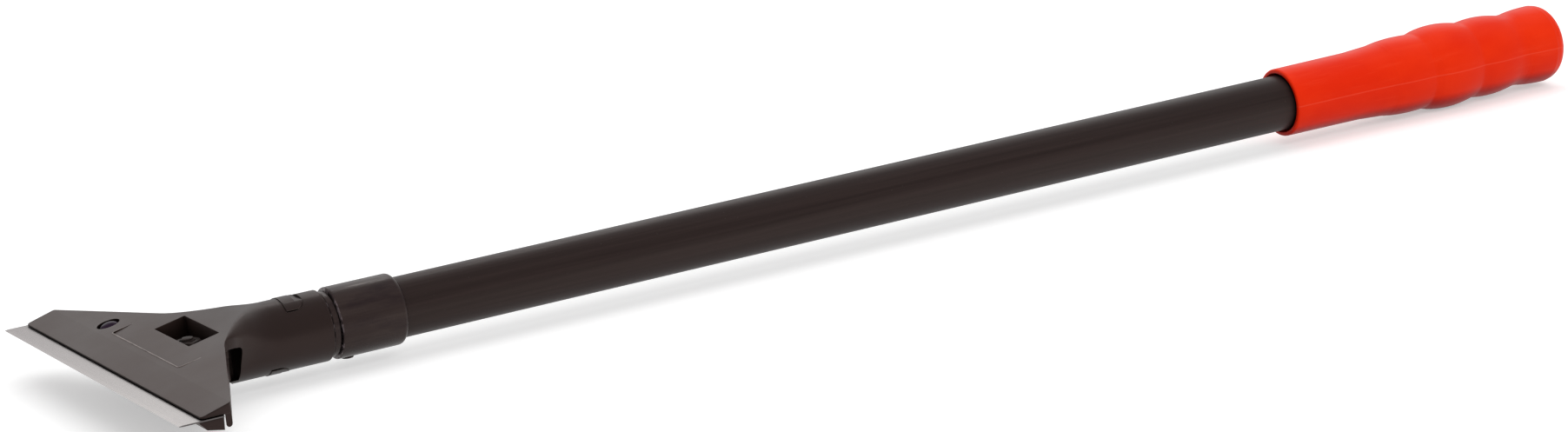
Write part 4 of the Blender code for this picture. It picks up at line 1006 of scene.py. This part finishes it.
def skirt_wall(side):
    # The wall under the rear edge, from the end of the head to the neck, rounded below
    end = HALF_WIDTH - SKIRT_INSET
    radius = SKIRT_SPAN / 2
    sections = []
    for reach in (end, NECK_RADIUS - SKIRT_THICKNESS):
        middle = STRIP_END - SKIRT_INSET - radius + (end - reach) * TAPER_RISE
        edge = arc((middle, underside_level(middle) + radius), radius, 0, -math.pi,
                   ROUNDOVER_STEPS)
        for x in (middle - radius, middle + radius):
            edge.append((x, within_plate(x)))
        sections.append([(x, side * reach, z) for x, z in edge])
    return loft("skirt", sections)


def back_stop():
    # The rail behind the blade's back edge
    front = BLADE_DEPTH + FIT
    half = HALF_WIDTH - SKIRT_THICKNESS
    return prism("back_stop", rectangle(front, front + BACK_STOP_THICKNESS, -half, half),
                 JAW_TOP + FIT, SEAT_LEVEL + PLATE_THICKNESS / 2)


def head_rib(share):
    y = share * HALF_WIDTH
    front = BLOCK_END - RIB_THICKNESS
    rear = STRIP_END + (HALF_WIDTH - abs(y)) * TAPER_RISE - SKIRT_THICKNESS / 2
    plan = rectangle(front, rear, y - RIB_THICKNESS / 2, y + RIB_THICKNESS / 2)
    return prism("rib", plan, WELL_FLOOR_UNDERSIDE, within_plate)


def nut_well():
    # The box below the window: its walls and the floor that the nut lies on
    half = WINDOW_WIDTH / 2 + WELL_WALL
    plan = rectangle(WELL_FRONT, WINDOW_FRONT + WINDOW_DEPTH + WELL_WALL, -half, half)
    return prism("well", plan, WELL_FLOOR_UNDERSIDE, within_plate)


def head_bulkhead():
    # The front wall of the neck, inside the skirt
    half = NECK_RADIUS - HEAD_EDGE
    plan = rectangle(NECK_FRONT - FIT, NECK_FRONT + NECK_FRONT_WALL / 2, -half, half)
    return prism("bulkhead", plan, underside_level(NECK_FRONT), within_plate)


def chin_cutter():
    # The sloping cut under the neck's front
    front = NECK_FRONT - OVERRUN
    start = underside_level(NECK_FRONT) + HEAD_EDGE + OVERRUN * math.tan(NECK_CHIN)
    low = -NECK_RADIUS - OVERRUN
    rear = front + (start - low) / math.tan(NECK_CHIN)
    outline = [(front, start), (rear, low), (front, low)]
    return side_prism("chin", outline, -NECK_RADIUS - OVERRUN, NECK_RADIUS + OVERRUN)


def window_cutter():
    half = WINDOW_WIDTH / 2
    plan = rectangle(WINDOW_FRONT, WINDOW_FRONT + WINDOW_DEPTH, -half, half)
    return prism("window", plan, WELL_FLOOR_LEVEL, over_plate)


def panel_path():
    # The shallow panel's plan, straight towards the window and rounded in front
    front, rear = PANEL_FRONT, PANEL_FRONT + PANEL_LENGTH
    half = PANEL_WIDTH / 2
    corners = [(rear, -half), (front, -half), (front, half), (rear, half)]
    return rounded_path(corners, (PANEL_CORNER, PANEL_CORNER), (CORNER_STEPS, CORNER_STEPS))


def panel_cutter():
    # Its floor runs out towards the window
    def floor(x):
        runout = PANEL_RUNOUT_SHARE * (x - PANEL_FRONT) / PANEL_LENGTH
        return slope_level(x) - PANEL_DEPTH * (1 - runout)
    return prism("panel", panel_path(), floor, over_plate)


def panel_rim():
    # A low bead that follows the panel's edge and thins out at both ends
    path = panel_path()
    sections = []
    for i, (x, y) in enumerate(path):
        before = Vector(path[max(i - 1, 0)])
        after = Vector(path[min(i + 1, len(path) - 1)])
        ahead = (after - before).normalized()
        side = Vector((-ahead.y, ahead.x))
        swell = min(1.0, i, len(path) - 1 - i)
        section = []
        for along, up in arc((0, 0), 1.0, math.pi, 0, ROUNDOVER_STEPS) + [(1, -1), (-1, -1)]:
            spot = Vector((x, y)) + side * (along * RIM_HALF_WIDTH)
            height = RIM_HEIGHT * up * swell - (1 - swell) * RIM_HEIGHT
            section.append((spot.x, spot.y, slope_level(spot.x) + height))
        sections.append(section)
    return loft("panel_rim", sections)


def cheek_cutter(side):
    # The recess behind the skirt in the neck's side, with a rounded top
    front = NECK_FRONT + CHEEK_SETBACK
    radius = CHEEK_LENGTH / 2
    low = underside_level(NECK_FRONT) - OVERRUN
    outline = [(front, low)] + arc((front + radius, CHEEK_TOP - radius), radius, math.pi, 0,
                                   ROUNDOVER_STEPS) + [(front + CHEEK_LENGTH, low)]
    near = NECK_RADIUS - CHEEK_DEPTH
    far = NECK_RADIUS + POCKET_LENGTH
    return side_prism("cheek", outline, *sorted((side * near, side * far)))


def stand_on_slope(thing):
    # Turns a piece made about the origin square to the upper face, over the guide rivet
    thing.location = (GUIDE_X, GUIDE_Y, slope_level(GUIDE_X))
    thing.rotation_euler.y = -HEAD_SLOPE
    bpy.context.view_layer.update()
    thing.data.transform(thing.matrix_world)
    thing.matrix_world = Matrix.Identity(4)
    return thing


def guide_seat_cutter():
    return stand_on_slope(post("seat", GUIDE_HEAD_RADIUS + FIT, -GUIDE_SEAT_DEPTH, OVERRUN))


def latch_span(side):
    # Front and rear end of the upper window, for side 1, or of the lower one
    rear = NECK_END - LATCH_SETBACK - LATCH_STAGGER * (1 - side) / 2
    return rear - LATCH_WINDOW_LENGTH, rear


def latch_outline(side, inset):
    # Straight in front, rounded behind
    half = LATCH_WINDOW_WIDTH / 2 - inset
    corner = LATCH_WINDOW_CORNER - inset
    front, rear = latch_span(side)
    corners = rectangle(front + inset, rear - inset, -half, half)
    return rounded_path(corners, (corner, corner), (ROUNDOVER_STEPS, ROUNDOVER_STEPS))


def latch_window_cutter(side):
    low, high = sorted((0, side * (NECK_RADIUS + OVERRUN)))
    return prism("latch_window", latch_outline(side, 0), low, high)


def settled(thing):
    # The mesh of a finished solid, moved from the tool's places to the frame's
    mesh = mesh_of(thing)
    mesh.transform(Matrix.Translation((EDGE_X, 0, AXIS_LEVEL)))
    return mesh


def make_latch(side, node, material):
    # A stepped pad that fills the window closely, its stem and its flange
    top = NECK_RADIUS + LATCH_PAD_RISE
    seat = LATCH_PAD_SEAT
    front, rear = latch_span(side)
    pad = prism("pad", latch_outline(side, LATCH_CLEARANCE), seat, top + OVERRUN)
    skin = [(front, 0), (front, top), (rear, top), (rear, 0)]
    combine(pad, linked("skin", turned_mesh("skin", skin, FINE_STEPS, 0)), "INTERSECT")
    step = front + LATCH_PAD_LENGTH
    half = LATCH_WINDOW_WIDTH / 2
    low = top - LATCH_STEP_DROP
    cut(pad, prism("step", rectangle(step, rear, -half, half), low, top + OVERRUN))
    foot, heel = front + LATCH_STEM_SETBACK, rear - LATCH_STEM_SETBACK
    stem = LATCH_STEM_WIDTH / 2
    flange = LATCH_FLANGE_WIDTH / 2
    join(pad, prism("stem", rectangle(foot, heel, -stem, stem), LATCH_FOOT + FIT, seat + FIT),
         prism("flange", rectangle(foot, heel, -flange, flange), LATCH_FOOT,
               LATCH_FOOT + LATCH_FLANGE_THICKNESS))
    if side < 0:
        pad.data.transform(Matrix.Rotation(math.pi, 4, "X"))
    add_piece(settled(pad), node + "_fine", node, material)


def make_guide_rivet(material):
    # A polished dome in its seat on the slope, on a plain shank
    seat = -GUIDE_SEAT_DEPTH + FIT
    dome = [(GUIDE_HEAD_RADIUS * math.cos(a), seat + GUIDE_DOME_HEIGHT * math.sin(a))
            for a in (math.pi / 2 * i / DOME_STEPS for i in range(DOME_STEPS))]
    rivet = stand_on_slope(loft("rivet", upright(dome + [(FIT, seat + GUIDE_DOME_HEIGHT)])))
    root = slope_level(GUIDE_X) + seat + FIT
    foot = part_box("guide_rivet")[0].z - AXIS_LEVEL
    join(rivet, post("shank", GUIDE_RADIUS, foot, root, (GUIDE_X, GUIDE_Y, 0)))
    add_piece(settled(rivet), "guide_rivet_fine", "guide_rivet", material)


def bore_cutter():
    rear = NECK_END + OVERRUN
    profile = [(BORE_FRONT, 0), (BORE_FRONT, NECK_BORE_RADIUS), (rear, NECK_BORE_RADIUS),
               (rear, 0)]
    return linked("bore", turned_mesh("bore", profile, ROUND_STEPS, 0))


def make_head(material):
    # Walls, ribs and well are joined to the shell, then its openings are cut
    head = head_shell()
    join(head, skirt_wall(1), skirt_wall(-1), head_bulkhead(), back_stop(), nut_well())
    for share in RIB_SHARES:
        join(head, head_rib(share), head_rib(-share))
    cut(head, chin_cutter(), bore_cutter(), window_cutter(), panel_cutter())
    cut(head, cheek_cutter(1), cheek_cutter(-1))
    cut(head, latch_window_cutter(1), latch_window_cutter(-1), guide_seat_cutter())
    # Holes for the guide rivet, for the blind guide pin and for the clamp screw
    for radius, low, high, x, y in (
        (GUIDE_RADIUS, 0, slope_level(GUIDE_X), GUIDE_X, GUIDE_Y),
        (GUIDE_RADIUS, 0, SEAT_LEVEL + GUIDE_ROOT + FIT, GUIDE_X, -GUIDE_Y),
        (SCREW_RADIUS, WELL_FLOOR_UNDERSIDE - OVERRUN, WELL_FLOOR_LEVEL + OVERRUN, SCREW_X, 0),
    ):
        cut(head, post("hole", radius + FIT, low, high, (x, y, 0)))
    weigh_normals(add_piece(settled(head), "head_satin", "head_body", material))


def make_panel_rim(material):
    # Trim on the head, which replaces no node
    mesh = settled(panel_rim())
    mesh.materials.append(material)
    mesh.shade_smooth()
    rim = linked("panel_rim", mesh)
    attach(rim, NODES["head_body"]["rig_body"])


# Stage

def background_rays(nodes):
    # 1 for the rays that show the background, 0 for those that light the object
    rays = nodes.new("ShaderNodeLightPath").outputs
    seen = rays["Is Camera Ray"]
    for other in ("Is Glossy Ray", "Is Transmission Ray"):
        seen = calculation(nodes, "MAXIMUM", seen, rays[other])
    return seen


def floor_white():
    # Pale, and lit from within where only the background is shown
    look = bpy.data.materials.new("floor_white")
    look.use_nodes = True
    nodes = look.node_tree.nodes
    nodes.clear()
    pale = fill(nodes.new("ShaderNodeBsdfDiffuse"), {"Color": (*FLOOR_COLOUR, 1)})[0]
    lift = calculation(nodes, "MULTIPLY", background_rays(nodes), FLOOR_LIFT)
    glow = fill(nodes.new("ShaderNodeEmission"), {"Color": (1, 1, 1, 1), "Strength": lift})[0]
    both = fill(nodes.new("ShaderNodeAddShader"), {0: pale, 1: glow})[0]
    fill(nodes.new("ShaderNodeOutputMaterial"), {"Surface": both})
    return look


def make_floor():
    # A pale floor that keeps the shadow and shows white where nothing shades it
    mesh_data = bmesh.new()
    bmesh.ops.create_grid(mesh_data, x_segments=1, y_segments=1, size=FLOOR_HALF)
    mesh = poured(mesh_data, "floor")
    mesh.materials.append(floor_white())
    floor = linked("floor", mesh)
    floor.location.z = -FLOOR_GAP


def make_world():
    world = bpy.data.worlds.new("studio")
    world.use_nodes = True
    background = world.node_tree.nodes["Background"]
    fill(background, {"Color": (1, 1, 1, 1), "Strength": WORLD_STRENGTH})
    bpy.context.scene.world = world


def area_light(name, spot, target, size, radiance, mirrored):
    lamp = bpy.data.lights.new(name, "AREA")
    lamp.shape = "RECTANGLE"
    lamp.size, lamp.size_y = size
    lamp.energy = radiance * math.pi * size[0] * size[1]
    holder = linked(name, lamp)
    holder.location = spot
    direction = Vector(target) - Vector(spot)
    holder.rotation_euler = direction.to_track_quat("-Z", "Y").to_euler()
    holder.visible_glossy = mirrored


def make_camera():
    camera_data = bpy.data.cameras.new("camera")
    camera_data.sensor_width = SENSOR_WIDTH
    camera_data.lens = FOCAL_PIXELS / IMAGE_WIDTH * SENSOR_WIDTH
    camera_data.dof.use_dof = False
    camera = linked("camera", camera_data)
    camera.location = CAMERA_PLACE
    facing = Vector(CAMERA_FORWARD).to_track_quat("-Z", "Y")
    camera.rotation_mode = "QUATERNION"
    camera.rotation_quaternion = facing @ Quaternion((0, 0, 1), CAMERA_ROLL)
    bpy.context.scene.camera = camera


for leftover in [o for o in bpy.data.objects if o.type in {"CAMERA", "LIGHT"}]:
    bpy.data.objects.remove(leftover, do_unlink=True)

HEAD_LOOK = head_plastic()
TUBE_LOOK = tube_coating()
COLLAR_LOOK = collar_plastic()
ZINC_LOOK = zinc_plate()
NUT_LOOK = dark_nut_steel()
RIVET_LOOK = rivet_lacquer()
INNER_LOOK = inner_plastic()

make_head(HEAD_LOOK)
make_panel_rim(rim_plastic())
finished_copy("blade", blade_steel())
finished_copy("clamp_jaw", HEAD_LOOK, JAW_EDGE)
finished_copy("clamp_washer", ZINC_LOOK, WASHER_EDGE)
finished_copy("clamp_knob", INNER_LOOK)
finished_copy("clamp_nut", NUT_LOOK)
make_guide_rivet(RIVET_LOOK)
finished_copy("guide_pin", ZINC_LOOK)
finished_copy("spigot", INNER_LOOK)
make_ring(COLLAR_LOOK)
make_latch(1, "latch_button_upper", HEAD_LOOK)
make_latch(-1, "latch_button_lower", HEAD_LOOK)
finished_copy("latch_spring_upper", ZINC_LOOK)
finished_copy("latch_spring_lower", ZINC_LOOK)
make_collar(COLLAR_LOOK)
make_collar_rivet(COLLAR_LOOK)
make_tube(TUBE_LOOK)
finished_copy("tube_plug", INNER_LOOK)
make_screw(NUT_LOOK)
make_grip(grip_plastic())

make_floor()
make_world()
for lamp_row in LAMPS:
    area_light(*lamp_row)
make_camera()
bpy.context.scene.view_settings.view_transform = "Standard"
